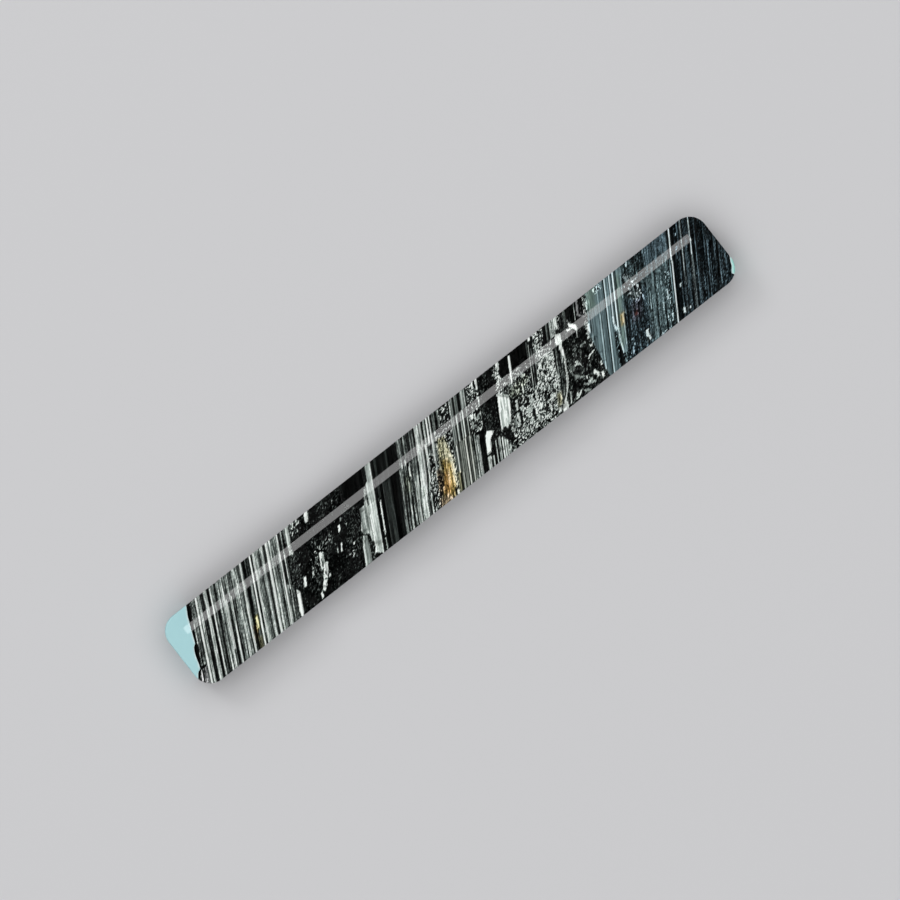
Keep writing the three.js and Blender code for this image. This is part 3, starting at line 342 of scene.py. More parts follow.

# Single chips, flakes and splinters of crystal: shade, painted reflection for the pale chips and painted
# shade for the dark ones, and outline, drawn over the faces and patches.
chips = [
    ("black", [(-65.1, 0.3), (-64.3, 0.9), (-63.8, 0.4), (-63.7, -0.6), (-64, -1.6), (-64.2, -2.6),
        (-64.1, -3.4), (-62.9, -3.8), (-63, -4.1), (-64.2, -4), (-65.4, -4.2), (-64.7, -3)]),
    ("black", [(-65.3, -3.8), (-64.2, -4), (-64.6, -4.6), (-65.2, -5.4), (-65.6, -6.2), (-66, -5.6)]),
    ("white", [(-39.85, -3), (-39.3, -3.5), (-38.95, -4), (-39, -6.5), (-39.1, -8.2), (-39.6, -8.2),
        (-39.95, -6.8), (-39.8, -5)]),
    ("bright", [(-39.9, 3.6), (-39.2, 3.5), (-38.9, 3), (-39.3, 2.9), (-39.7, 3.2)]),
    ("bright", [(-21.75, 1.8), (-21.35, 1.8), (-21.3, -2.95), (-21.7, -2.85)]),
    ("bright", [(-22.65, -0.4), (-22.5, -0.6), (-22.6, -2.4), (-22.95, -1.8)]),
    ("bright", [(-22.75, -2.8), (-22.5, -3), (-22.8, -5), (-22.9, -9), (-23.2, -9), (-23.2, -6),
        (-23.05, -4.2)]),
    ("dark", [(-20.55, 3.2), (-20.25, 3), (-20.2, 1.4), (-20.5, 1.5)]),
    ("white", [(-20.5, -0.4), (-20.15, -0.4), (-20.1, -7), (-20.5, -7), (-20.3, -5.6)]),
    ("bright", [(-18.85, 9), (-18.6, 9), (-18.6, -9), (-18.85, -9)]),
    ("black", [(-21.9, -3.05), (-21.15, -3.35), (-21.15, -3.5), (-21.9, -3.25)]),
    ("black", [(-20.55, -7.1), (-19.9, -7.3), (-18.9, -7.9), (-18.9, -9), (-20.5, -9)]),
    ("white", [(-17.75, 0.4), (-17.42, 0.7), (-17.42, -5.4), (-17.75, -5.4)]),
    ("dim", [(-18.1, 1.5), (-17.5, 0.7), (-17.7, 0.4), (-18.1, 0.9)]),
    ("light", [(-17.8, -5.8), (-17.5, -5.8), (-17.5, -9), (-17.8, -9)]),
    ("white", [(12.5, 2.7), (13.1, 2.6), (13.1, 0.2), (12.75, -0.5), (12.75, -3.3), (12.5, -3.3),
        (12.45, -1)]),
    ("white", [(14.85, 1.2), (15.3, 0.4), (15.25, -1), (15.05, -2.6), (14.8, -2.6)]),
    ("white", [(14.15, 1.8), (14.4, 1.8), (14.4, 0), (14.15, 0)]),
    ("white", [(13.85, -0.8), (14.2, -0.9), (14.1, -1.9), (13.85, -1.9)]),
    ("white", [(8.55, -2.1), (9.1, -1.6), (9.8, -1.8), (10.65, -2.35), (10.55, -2.7), (9.9, -3),
        (9.65, -3.6), (9.6, -4.9), (9.45, -5.4), (8.4, -5.4), (8.35, -5), (8.5, -3.5)]),
    ("white", [(13, 9), (13.8, 9), (13.75, 6.8), (13.5, 6.5), (13, 7.2)]),
    ("bright", [(13.2, 5.7), (13.5, 5.6), (14, 5), (13.8, 4.8)]),
    ("bright", [(14.8, -4.1), (15.2, -4.1), (15.6, -4.8), (15.3, -5.1), (14.8, -4.8)]),
    ("white", [(15.2, -5.5), (15.9, -5.8), (16, -6.1), (15.4, -6)]),
    ("mid", [(15.6, -3.1), (16.3, -3.2), (16.3, -4.6), (15.7, -4.7)]),
    ("black", [(-0.3, -6.8), (0.1, -6.7), (0.1, -7.7), (-0.2, -7.6)]),
    ("white", [(0.2, -7.2), (0.8, -7.4), (0.8, -9), (0.3, -9)]),
    ("bright", [(16.5, -0.4), (16.95, -0.5), (17, -2.2), (16.6, -2)]),
    ("light", [(16.6, -2.6), (17.1, -2.7), (17.05, -4.9), (16.7, -4.6)]),
    ("night", [(17.1, -2.8), (17.6, -2.8), (17.65, -4), (17.4, -5.2), (17.15, -4.6)]),
    ("bright", [(18.3, 1.7), (18.75, 1.4), (18.85, 0), (18.5, -0.1)]),
    ("light", [(18.5, 3), (19.6, 2.9), (19.5, 2.4), (18.7, 2.4)]),
    ("light", [(17.3, -1.8), (18.2, -2.1), (18.3, -2.7), (17.5, -2.5)]),
    ("night", [(19.1, -1.4), (19.6, -1.5), (19.6, -2.2), (19.2, -2.1)]),
    ("light", [(19, -2.9), (20.2, -3.1), (20.2, -4.1), (19.2, -3.9)]),
    ("light", [(19.85, -1.2), (20.1, -1.2), (20.1, -3), (19.85, -3)]),
    ("bright", [(20.35, -1.3), (20.6, -1.4), (20.5, -3.3), (20.25, -3.2)]),
    ("night", [(20.3, -4.2), (20.8, -4.2), (20.8, -5.8), (20.4, -5.8)]),
    ("night", [(20.9, -1.1), (21.2, -1.1), (21.2, -2.7), (20.95, -2.7)]),
    ("bright", [(21.35, -1), (21.75, -1.2), (21.6, -2.4), (21.35, -2.3)]),
    ("light", [(18, -5.8), (18.8, -6), (18.8, -6.8), (18.1, -6.7)]),
    ("light", [(19.5, -5), (20.3, -5.1), (20.3, -5.8), (19.6, -5.7)]),
    ("bright", [(21.1, -5.2), (21.6, -5.2), (21.6, -6.1), (21.2, -6.1)]),
    ("bright", [(22, -3.8), (22.9, -3.9), (22.8, -4.7), (22, -4.6)]),
    ("light", [(22.5, 6.3), (23, 6.2), (22.9, 5), (22.5, 5)]),
    ("bright", [(22.9, 2.4), (23.6, 2.5), (23.5, 1.6), (23, 1.6)]),
    ("night", [(23.7, 2.5), (24, 2.4), (23.9, 1.5), (23.65, 1.6)]),
    ("bright", [(25.2, 2.5), (26.2, 2.4), (26.2, 1.8), (25.3, 1.9)]),
    ("bright", [(25.3, 1), (26.2, 0.8), (26.2, 0.1), (25.4, 0.2)]),
    ("night", [(23.3, -3), (23.9, -2.8), (24.1, -3.8), (23.6, -4.4)]),
    ("night", [(23.3, -5), (24, -5), (24.1, -5.7), (23.4, -5.9)]),
    ("light", [(24.4, -2), (25, -2.2), (25, -2.9), (24.5, -2.8)]),
    ("light", [(25.8, -2.3), (27, -2.7), (27, -3.2), (25.9, -3)]),
    ("bright", [(25, -4), (26.3, -4.1), (26.3, -4.6), (25.1, -4.6)]),
    ("bright", [(16.4, -2.6), (17, -3.2), (17.1, -4.4), (16.7, -3.8)]),
    ("white", [(30.8, 5.9), (31.6, 5.1), (32.6, 4.3), (33, 4), (33.05, 3.2), (32.85, 3), (32.8, 2.2),
        (32.6, 2.1), (32.6, 3.2), (32.2, 3.8), (31.6, 4.3), (30.9, 5)]),
    ("white", [(30.3, 4.7), (31, 4.5), (31.8, 4.2), (31, 4), (30.5, 4.1)]),
    ("mid", [(33.2, 9), (33.75, 9), (33.7, 5.5), (34.9, 4.75), (34.9, 4.5), (33.6, 5.2), (33.2, 5.6)]),
    ("white", [(27.4, 5.3), (28.3, 5), (28.9, 4.8), (28.95, 3), (28.9, 2.4), (28.2, 2.3), (28.1, 3.2),
        (27.5, 3.6)]),
    ("white", [(28.2, 2.5), (28.9, 2.6), (29.2, 1.7), (29.35, 1), (29.45, 0), (29.3, -0.9), (29.45, -2.2),
        (29.45, -3.4), (29.2, -4.8), (28.9, -5.4), (28.6, -6), (28.5, -6.6), (28.8, -7.4), (28.4, -9),
        (27.2, -9), (27.3, -7.3), (27.9, -6.6), (28.3, -5.7), (28.7, -5.1), (28.9, -4.1), (28.95, -2.6),
        (29.05, -1.5), (28.92, -0.8), (29.03, 0.1), (28.9, 0.9), (28.5, 1.5)]),
    ("white", [(16.1, 7.7), (16.65, 7.6), (16.6, 5.2), (16.45, 2.8), (16.05, 2.7), (16.05, 5.2)]),
    ("mid", [(16, 2.8), (16.3, 2.8), (16.2, 1), (16, 1)]),
    ("light", [(31.3, -1.9), (32.2, -2), (32.9, -2.6), (33, -2.9), (32.2, -2.4), (31.3, -2.2)]),
    ("mid", [(30.5, -2.9), (31.6, -3.9), (32.6, -4.6), (33.4, -4.8), (33.4, -5.1), (32.4, -4.9),
        (31.3, -4.2), (30.4, -3.2)]),
    ("mid", [(33.1, 0.4), (33.8, 0.6), (34.6, 0.4), (34.6, 0.1), (33.7, 0.2), (33.1, 0)]),
    ("light", [(30.9, -6.9), (31.6, -6.9), (32.3, -6.6), (32.3, -6.9), (31.5, -7.4), (30.9, -7.3)]),
    ("mid", [(33, -5.9), (34, -6.4), (35, -6.5), (36, -7), (35.8, -7.3), (34.6, -6.9), (33.6, -6.7),
        (32.9, -6.3)]),
    ("mid", [(32.6, -6.9), (33.6, -7.2), (34.6, -7.8), (34.4, -8.1), (33.2, -7.6)]),
    ("grey", [(30, -1.7), (31, -1.8), (31.4, -2.6), (30.8, -3), (30.2, -2.6)]),
    ("light", [(29.5, -1.2), (29.7, -1.3), (30.3, -2.6), (30.1, -2.7)]),
    ("mid", [(30.9, -3.9), (31.5, -3.9), (31.6, -4.4), (31, -4.5)]),
    ("light", [(29.4, -5.6), (29.8, -5.6), (29.7, -7.4), (29.4, -7.6)]),
    ("bright", [(30.8, -7.5), (31.4, -7.3), (32.2, -6.7), (32.25, -7), (31.6, -7.6), (30.9, -7.7)]),
    ("light", [(31.5, -1.5), (32.2, -1.6), (32.3, -2), (31.7, -2)]),
    ("light", [(34, -6.1), (35.1, -6.1), (35.2, -6.4), (34.1, -6.8)]),
    ("white", [(35.4, -0.6), (36.1, -0.6), (36, -1.1), (35.5, -1)]),
    ("white", [(35.3, 2.9), (35.8, 2.8), (35.8, 1.2), (35.4, 1.2), (35.2, 2)]),
    ("bright", [(35.3, 6.8), (36, 6.7), (36, 5.3), (35.5, 5.2)]),
    ("bright", [(42.35, -1.4), (42.7, -1.2), (42.75, -3.4), (43, -4.8), (43.3, -5.8), (43.1, -6.1),
        (42.7, -4.8), (42.4, -3.4)]),
    ("white", [(41.4, 1), (41.7, 0.9), (41.9, -0.3), (42.25, -1.5), (42, -1.9), (41.6, -1), (41.35, 0)]),
    ("black", [(42.2, -4.4), (42.6, -5), (43, -6.4), (42.9, -9), (42.2, -9)]),
    ("mid", [(46.6, 3.9), (46.85, 3.8), (47.2, 2.6), (47.5, 1.5), (47.6, 0.9), (47.35, 1.1), (47, 2.2)]),
    ("grey", [(47.7, 2.4), (47.9, 2.3), (48.3, 1.2), (48.4, 0.5), (48.2, 0.6), (47.9, 1.5)]),
    ("mid", [(45.1, 5.7), (45.6, 5.9), (45.9, 4.9), (45.6, 4.4), (45.3, 4.9)]),
    ("white", [(37.4, 7.9), (37.8, 7.9), (37.9, 7.3), (37.5, 7.2)]),
    ("dark", [(46.7, -1), (47.3, -1.1), (47.3, -1.7), (46.9, -1.7)]),
    ("bright", [(48.9, -5.3), (49.5, -5.3), (49.5, -6), (49.7, -6.6), (50, -7.2), (49.7, -7.3),
        (49.2, -6.6), (48.8, -6.2)]),
    ("light", [(45.3, -4.8), (45.8, -4.9), (45.8, -5.2), (45.3, -5.1)]),
    ("bright", [(45.7, -5.8), (46.1, -5.9), (46.1, -6.2), (45.8, -6.1)]),
    ("light", [(45.4, -6.3), (45.6, -6.3), (45.7, -7.2), (45.4, -7.4)]),
    ("white", [(45.8, 9), (46.05, 9), (46, 7.2), (45.8, 7.2)]),
    ("light", [(49.9, 9), (50.2, 9), (50.1, 7.4), (49.9, 7.4)]),
    ("white", [(-35.1, 9), (-34.3, 9), (-34.3, 6.9), (-34.6, 6.2), (-35.2, 6.4)]),
    ("light", [(-38.3, 9), (-37.9, 9), (-37.9, 7.2), (-38.3, 7)]),
    ("light", [(-37.3, 9), (-36.9, 9), (-36.9, 7.1), (-37.2, 6.9)]),
    ("light", [(-33.4, -0.2), (-32.3, -0.3), (-32.3, -2.9), (-33.2, -3.2), (-33.4, -2)]),
    ("white", [(-33.4, -0.1), (-32.7, -0.2), (-32.8, -1.3), (-33.1, -1.4), (-33.1, -3), (-33.4, -2.8)]),
    ("dark", [(-33.1, -1.5), (-32.9, -1.4), (-32.7, -2.8), (-32.95, -2.9)]),
    ("white", [(-32.7, -2.3), (-31.8, -2.4), (-31.75, -3.6), (-32, -4.4), (-32.4, -5.3), (-32.8, -6.2),
        (-33.4, -6.9), (-33.8, -6.4), (-33.4, -5.2), (-33.1, -4.2), (-32.8, -3.4)]),
    ("night", [(-32.7, -3.6), (-32.5, -3.6), (-32.3, -4.5), (-32.6, -4.4)]),
    ("dark", [(-32.3, -5), (-32.6, -5.3), (-33, -5), (-32.8, -4.8)]),
    ("white", [(-37.7, -2.1), (-37.1, -2), (-37.2, -3.7), (-37.8, -3.9), (-38, -3.3)]),
    ("light", [(-38.3, 0.6), (-38, 0.5), (-38.1, 0.25), (-38.3, 0.3)]),
    ("white", [(-31.9, -4.6), (-31.4, -4.7), (-31.5, -5.2), (-32, -5.1)]),
    ("bright", [(-35.6, -2.3), (-35.2, -2.4), (-35.3, -3), (-35.6, -2.9)]),
    ("white", [(-34.4, -6.6), (-34, -6.6), (-33.8, -7.6), (-34.3, -7.7)]),
    ("light", [(-29.1, -1.4), (-28.8, -1.4), (-28.9, -2.5), (-29.1, -2.4)]),
    ("white", [(-28.05, -1.2), (-27.75, -1.2), (-27.95, -2.7), (-28.25, -2.6)]),
    ("light", [(-28.5, 6.7), (-28.28, 6.7), (-28.36, 6.2), (-28.6, 6.1)]),
    ("white", [(-28, 1.9), (-27.6, 1.9), (-27.5, 1.5), (-27.7, 0.8), (-28.1, 0.7), (-28, 1.3)]),
    ("light", [(-27.4, 2.9), (-27.1, 2.9), (-27.1, 2.4), (-27.4, 2.4)]),
    ("white", [(-25.2, -2.7), (-24.8, -2.7), (-24.9, -3.1), (-25.2, -3.1)]),
    ("light", [(-26.2, 1.3), (-25.9, 1.3), (-25.9, 1), (-26.2, 1)]),
    ("white", [(7, 9), (7.3, 9), (7.2, 6.8), (6.9, 6.9)]),
    ("white", [(7.8, 9), (8.3, 9), (8.3, 6), (7.9, 6.2)]),
    ("bright", [(8, 5), (8.3, 5), (8.25, 1.8), (8, 1.9)]),
    ("white", [(5.6, 3.1), (6.4, 2.8), (6.5, 2.1), (5.8, 2.2)]),
    ("mid", [(5.85, 1.9), (6.3, 1.8), (6.3, 0.3), (5.8, 0.2)]),
    ("mid", [(7.2, 2.3), (7.8, 2.2), (7.8, 1.3), (7.3, 1.3)]),
    ("bright", [(7.3, -0.2), (8, -0.3), (7.9, -0.8), (7.4, -0.7)]),
    ("black", [(6.4, 3), (8.2, 2.9), (8.2, 2.4), (6.6, 2)]),
    ("black", [(6.3, -0.4), (8.4, -0.9), (8.4, -1.5), (7.2, -1.2), (6.3, -0.8)]),
    ("bright", [(6.6, 2.8), (6.9, 2.7), (7, 1.6), (6.7, 1.5)]),
    ("white", [(21.2, 9), (21.8, 9), (21.7, 7.4), (21.2, 7.5)]),
    ("bright", [(34.6, -2.5), (35.4, -1.95), (36.3, -1.85), (36.3, -2.15), (35.4, -2.3), (34.7, -2.8)]),
    ("white", [(35.5, -5.1), (35.9, -5.2), (36.8, -6.1), (37, -6.8), (36.5, -6.7), (36.1, -5.9),
        (35.7, -6)]),
    ("white", [(37.3, -6.3), (37.9, -6.4), (38, -7.4), (37.5, -7.4)]),
    ("light", [(37.2, -4.6), (37.7, -4.4), (37.9, -5.2), (37.4, -5.4)]),
    ("bright", [(33.7, -5.1), (34, -5.1), (33.9, -5.6), (33.6, -5.5)]),
    ("bright", [(31.1, -6.8), (31.4, -6.8), (31.4, -7.3), (31.1, -7.3)]),
    ("bright", [(43.6, 0.4), (44, 0.3), (44.05, -1.2), (43.7, -1.3)]),
    ("light", [(48.8, 1), (49.2, 0.8), (49.4, -0.2), (49.1, 0)]),
    ("white", [(54.9, -1.4), (55.1, -1.4), (55.1, -3.2), (54.9, -3.2)]),
    ("bright", [(58.2, -6.3), (58.8, -6.4), (58.7, -7.4), (58.2, -7.2)]),
    ("light", [(59.8, -6.9), (60.2, -6.9), (60.2, -7.3), (59.8, -7.3)]),
    ("bright", [(58.05, 6.4), (58.35, 6.4), (58.3, 6), (58.05, 6)]),
    ("light", [(58.05, 4.2), (58.3, 4.2), (58.3, 3.8), (58.05, 3.8)]),
    ("light", [(58, -2.1), (58.3, -2.1), (58.3, -2.7), (58, -2.7)]),
    ("bright", [(-50.05, -2.5), (-49.5, -2.4), (-49.45, -3.4), (-49.6, -4.5), (-50.15, -4.5)]),
]

# Where the crystal is stained: tint, outline and how softly the stain ends.
tints = {
    "slate": "#CFE6F4", "navy": "#C4DDF5", "green": "#DAF1EC", "gold": "#FFCF78", "lemon": "#FFEC9E",
    "brown": "#FFBC70", "straw": "#FFEDC2", "rust": "#FFD6B4", "warm": "#FFFAF4", "olive": "#FAFBEC",
    "mauve": "#FFF2FA", "red": "#FF8F8A", "haze": "#E0E9F3", "plum": "#DCD8F4",
}
stains = [
    ("slate", [(35.6, 9), (35.6, 1), (37.5, -4), (39.6, -9), (76, -9), (74, 9)], 0.3),
    ("green", [(35.6, 8.4), (38, 8.4), (37.8, 4.6), (35.6, 4.6)], 0.8),
    ("green", [(42.9, 7), (42.9, -5), (43.9, -4), (43.9, 7)], 0.8),
    ("navy", [(50, 9), (49.6, 4), (56, 4.6), (57, 9)], 1.5),
    ("navy", [(44.5, 2), (44.5, -9), (50, -9), (50, 2)], 0.8),
    ("navy", [(56.8, 9), (56.8, -9), (74, -9), (74, 9)], 0.8),
    ("warm", [(1.6, 0.4), (1.6, -9), (5.4, -9), (5.4, 0.4)], 0.8),
    ("straw", [(-2.6, 3.4), (-0.9, 2.8), (0.2, -0.6), (0.7, -2.4), (0.7, -6), (0, -9), (-3.6, -9),
        (-2.9, -2)], 0.4),
    ("gold", [(-2.3, -0.8), (-0.9, -1), (-0.1, -3), (0.1, -6.4), (-0.8, -9), (-3.2, -9), (-2.8, -5),
        (-2.2, -2.8)], 0.5),
    ("brown", [(-2.8, -4.9), (-2, -2.8), (-1.2, -2.8), (-0.9, -6), (-1.8, -7), (-2.8, -6)], 0.5),
    ("rust", [(-3.7, -1.6), (-2.8, -2), (-2.3, -3.2), (-2.6, -5), (-3.1, -6), (-3.8, -6)], 0.3),
    ("rust", [(-3.9, -6.4), (-2, -6.8), (-1, -7.4), (-0.8, -9), (-4, -9)], 0.6),
    ("straw", [(0.8, -4.4), (1.9, -4.6), (1.9, -8), (0.8, -8)], 0.4),
    ("straw", [(26.4, -4.4), (27.3, -4.6), (27.4, -6.4), (26.5, -6.6)], 0.5),
    ("olive", [(15.4, 2), (20.6, 3), (20, 1.6), (17.6, 0), (15.6, 0.8)], 0.6),
    ("olive", [(-11.4, 1.4), (-10, 1.2), (-10, -1.6), (-11.6, -1.4)], 0.5),
    ("lemon", [(-50.3, -2.1), (-49.35, -2.1), (-49.3, -4.8), (-50.3, -4.8)], 0.15),
    ("brown", [(-50.8, -3.6), (-50.2, -3.4), (-50.1, -6), (-50.8, -6)], 0.3),
    ("straw", [(-50.4, -6), (-49.3, -6), (-49.3, -9), (-50.4, -9)], 0.4),
    ("gold", [(43.2, 0.4), (44.2, 0.4), (44.1, -1.6), (43.3, -1.4)], 0.6),
    ("mauve", [(33, 9), (33.7, 9), (35.1, 5), (34.8, 3.8), (33, 5)], 0.2),
    ("haze", [(44.8, 6.4), (46, 6), (47.6, 4.4), (48.9, 1.8), (48.6, 0.4), (46.9, 1), (45.2, 2.6)], 0.3),
    ("plum", [(46.2, 0.8), (48.8, 0.4), (48.4, -2.6), (46, -2.4)], 0.6),
    ("red", [(46.7, -0.9), (47.4, -1), (47.4, -1.7), (46.8, -1.7)], 0.2),
    ("mauve", [(-66, -4), (-62.8, -4), (-62.8, -9), (-66, -9)], 0.4),
    ("haze", [(48.7, -5.1), (49.7, -5.1), (50.2, -7.4), (49, -7.4)], 0.15),
    ("haze", [(57.9, -6.1), (60.3, -6.6), (60.3, -7.5), (58, -7.5)], 0.15),
    ("haze", [(57.9, -1.9), (58.5, -1.9), (58.5, -2.9), (57.9, -2.9)], 0.15),
    ("haze", [(59.1, 9), (59.3, -3), (59.9, -3), (59.7, 9)], 0.15),
    ("haze", [(61.1, 9), (61.3, -9), (61.9, -9), (61.8, 9)], 0.15),
    ("haze", [(56.4, 9), (56.5, -9), (57.1, -9), (57, 9)], 0.1),
]

# The line where the crystals meet the resin at each end, as (station, y) corners.
resinLines = {
    "seam": 0.03,
    "left": [(-64.6, 9.5), (-64.7, 8), (-64.8, 6), (-64.6, 3), (-64.4, 0.9), (-64.85, 0.4), (-64.9, -0.4),
             (-64.8, -1.4), (-64.5, -2.8), (-64.4, -3.8), (-65, -4), (-65.3, -5.1), (-65.6, -9.5)],
    "right": [(72.5, -2.2), (70.4, -3.7), (70.5, -5), (70.7, -5.6), (70.5, -6.8), (71, -7.2), (72.5, -9.5)],
}

# The noise fields of the top face: waves per millimetre across and along the crystals, and a layer each.
waves = {
    "drift": (0.7, 0.09, 1.5),
    "ribs": (2.1, 0.08, 4.5),
    "thinRibs": (3.7, 0.2, 9.5),
    "sheen": (1, 0.05, 11.5),
    "dashes": (3.6, 0.9, 14.5),
    "flakes": (2.3, 0.8, 17.5),
    "specks": (3.9, 3.5, 20.5),
    "clumps": (1.9, 1.5, 26.5),
    "curls": (1.1, 0.8, 33.5),
    "blots": (0.35, 0.25, 41.5),
}


def slant(station, y):
    return station + y * (stick["lean"] + stick["fan"] * station)


def stationOf(x, y):
    return (x - stick["lean"] * y) / (1 + stick["fan"] * y)


def smoothStep(low, high, value):
    t = np.clip((value - low) / (high - low), 0, 1)
    return t * t * (3 - 2 * t)


def band(low, high, soft, value):
    # 1 between low and high and 0 outside, with soft ends.
    return smoothStep(low - soft, low + soft, value) * smoothStep(high + soft, high - soft, value)


def grain(station, y, across, along, layer):
    # Smooth noise from about -1 to 1, with so many waves per millimetre across and along the crystals.
    return np.array([noise.noise((a * across, b * along, layer)) for a, b in zip(station, y)])


def depthInside(station, y, corners):
    # How far each point is inside an outline, or less than 0 outside it.
    nearest = np.full(len(station), np.inf)
    inside = np.zeros(len(station), bool)
    for (ax, ay), (bx, by) in zip(corners, corners[1:] + corners[:1]):
        along = ((station - ax) * (bx - ax) + (y - ay) * (by - ay)) / ((bx - ax) ** 2 + (by - ay) ** 2)
        t = np.clip(along, 0, 1)
        nearest = np.minimum(nearest, np.hypot(station - ax - t * (bx - ax), y - ay - t * (by - ay)))
        if ay != by:
            crossing = (ay > y) != (by > y)
            inside ^= crossing & (station < ax + (y - ay) * (bx - ax) / (by - ay))
    return np.where(inside, nearest, -nearest)


def outlineDepth(x, y):
    r = stick["cornerRadius"]
    pastX = np.abs(x) - (halfLength - r)
    pastY = np.abs(y) - (halfWidth - r)
    return r - np.hypot(np.maximum(pastX, 0), np.maximum(pastY, 0)) - np.minimum(np.maximum(pastX, pastY), 0)


def outlineEnd(y):
    r = stick["cornerRadius"]
    return halfLength - r + np.sqrt(np.maximum(r * r - np.maximum(np.abs(y) - (halfWidth - r), 0) ** 2, 0))


def lineAt(line, y):
    down = sorted(resinLines[line], key=lambda corner: corner[1])
    return slant(np.interp(y, [c[1] for c in down], [c[0] for c in down]), y)


def stickLeft(y):
    return np.maximum(-outlineEnd(y), lineAt("left", y))


def stickRight(y):
    tipTop = resinLines["right"][0][1]
    return np.where(y < tipTop, np.minimum(outlineEnd(y), lineAt("right", y)), outlineEnd(y))


def linearColour(hexColour):
    values = [int(hexColour[i:i + 2], 16) / 255 for i in (1, 3, 5)]
    return [v / 12.92 if v <= 0.04045 else ((v + 0.055) / 1.055) ** 2.4 for v in values]


def tenths(field, mask, dark, middle, bright):
    # Spreads a noise field so that a tenth of the masked ground is below dark and a tenth above bright.
    order = np.zeros(len(field))
    inside = np.flatnonzero(mask > 0.05)
    order[inside[np.argsort(field[inside])]] = np.linspace(0, 1, len(inside))
    low = max(1.7 * dark - 0.7 * middle, 0)
    top = min(bright + 0.9 * (bright - middle) + 0.05, 1)
    return np.interp(order, (0, 0.1, 0.5, 0.9, 1), (low, dark, middle, bright, top))


def painted(station, y):
    # The shade, which paints reflection and shade into the colour, and the stain of every point of the top
    # face, how rough its ground is, and two noise fields.
    rng = random.Random(stick["seed"])
    dust = np.random.default_rng(stick["seed"]).normal(0, 0.1, len(station))
    drift, ribs, thinRibs, sheen, dashes, flakes, specks, clumps, curls, blots = (
        grain(station, y, *wave) for wave in waves.values())
    ribs = ribs + 0.9 * thinRibs
    specks = specks + dust
    curls = 0.35 - 1.6 * np.abs(curls)
    # Kinds of ground: the field, how rough it is, how much its contrast is raised to make up for the
    # softness of the finest grains, and how ragged its outline is.
    kinds = {
        "smooth": (sheen + 0.1 * ribs, 0, 1, 0.3),
        "clean": (sheen + 0.4 * ribs + 0.15 * specks, 0, 1, 0.05),
        "striped": (ribs + 0.4 * dashes + 0.5 * specks, 0.2, 1.25, 0.3),
        "speckled": (0.8 * ribs + 0.5 * dashes + 0.9 * specks, 0.5, 1.35, 0.4),
        "fibrous": (ribs + dashes + 0.6 * specks, 0.5, 1.2, 0.4),
        "grains": (specks + 0.35 * flakes + 0.35 * clumps + 0.3 * blots, 1, 2, 0.4),
        "break": (specks + 0.4 * clumps + 0.5 * blots, 0.6, 1.3, 0.3),
        "lumps": (0.9 * specks + 0.4 * clumps + 0.7 * curls + 0.4 * blots, 0.8, 1.3, 0.3),
    }
    fibre = 0.8 * ribs + 0.4 * dashes + 0.5 * specks
    shade = np.full(len(station), paintedShades["night"])
    rough = np.zeros(len(station))

    def lay(kind, spread, corners):
        field, roughness, crisp, ragged = kinds[kind]
        mask = smoothStep(-0.1, 0.1, depthInside(station, y, corners) + ragged * specks)
        wider = [spread[1] + crisp * (level - spread[1]) for level in spread]
        shade[:] = shade * (1 - mask) + tenths(field, mask, *np.clip(wider, 0.003, 1)) * mask
        rough[:] = rough * (1 - mask) + roughness * mask

    for ground in grounds:
        lay(*ground)
    fall = np.clip(stick["bendTop"] - y, 0, 7)
    wander = station + 0.06 * drift + stick["bend"] * fall * band(*stick["bent"], 0.75, station)
    for item in faces:
        tone, left, right = paintedShades[item[0]], item[1], item[2]
        low, high = item[3:] if len(item) > 3 else (-20, 20)
        litSide = left if rng.random() < crystal["litLeft"] else right
        near = np.flatnonzero((wander > left - 0.3) & (wander < right + 0.3))
        q = wander[near]
        lively = fibre[near] * np.clip(0.35 + 3.25 * rough[near], 0, 1)
        ends = band(low, high, crystal["endSoft"], y[near] + crystal["endRagged"] * specks[near])
        mask = ends * band(left, right, crystal["faceSoft"], q)
        value = tone + lively * (0.08 + tone * (1 - tone))
        # A painted highlight along the lit edge of a wide bright face.
        if right - left > 0.35 and tone > 0.3:
            value = value + crystal["litHighlight"] * np.exp(-(((q - litSide) / crystal["litWidth"]) ** 2))
        # Painted shade in a groove on each side of a bright face.
        if tone > 0.6:
            beside = crystal["grooveReach"]
            grooveShadow = ends * band(left - beside, right + beside, crystal["grooveSoft"], q)
            shade[near] *= 1 - crystal["grooveShade"] * grooveShadow
        shade[near] = shade[near] * (1 - mask) + value * mask
        rough[near] -= mask * np.maximum(rough[near] - 0.2, 0)
    for patch in patches:
        lay(*patch)
    for kind, corners in chips:
        mask = smoothStep(-crystal["faceSoft"], crystal["faceSoft"],
                          depthInside(station, y, corners) + crystal["chipRagged"] * specks)
        shade = shade * (1 - mask) + (paintedShades[kind] + crystal["chipFibre"] * fibre) * mask
        rough = rough * (1 - 0.7 * mask)
    tint = np.ones((len(station), 3))
    for kind, corners, soft in stains:
        colour = np.array(linearColour(tints[kind]))
        colour /= colour @ (0.2126, 0.7152, 0.0722)
        mask = smoothStep(-soft, soft, depthInside(station, y, corners) + 0.5 * soft * specks)[:, None]
        tint = tint * (1 - mask) + colour * mask
    tint = 1 + (tint - 1) * (1 - crystal["stainFade"] * smoothStep(0.4, 1, shade))[:, None]
    return np.clip(shade, 0, 1.15), rough, tint, fibre, specks


def castHeights(node, x, y):
    # The height of a solid's top at each point, found by a ray from above.
    tree = BVHTree.FromObject(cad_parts[node], bpy.context.evaluated_depsgraph_get())
    heights = []
    for a, b in zip(x, y):
        hit = tree.ray_cast(Vector((a, b, topLimit + 5)) * mm, Vector((0, 0, -1)))[0]
        heights.append(hit.z / mm if hit else np.nan)
    heights = np.array(heights)
    return np.where(np.isnan(heights), np.nanmedian(heights), heights)


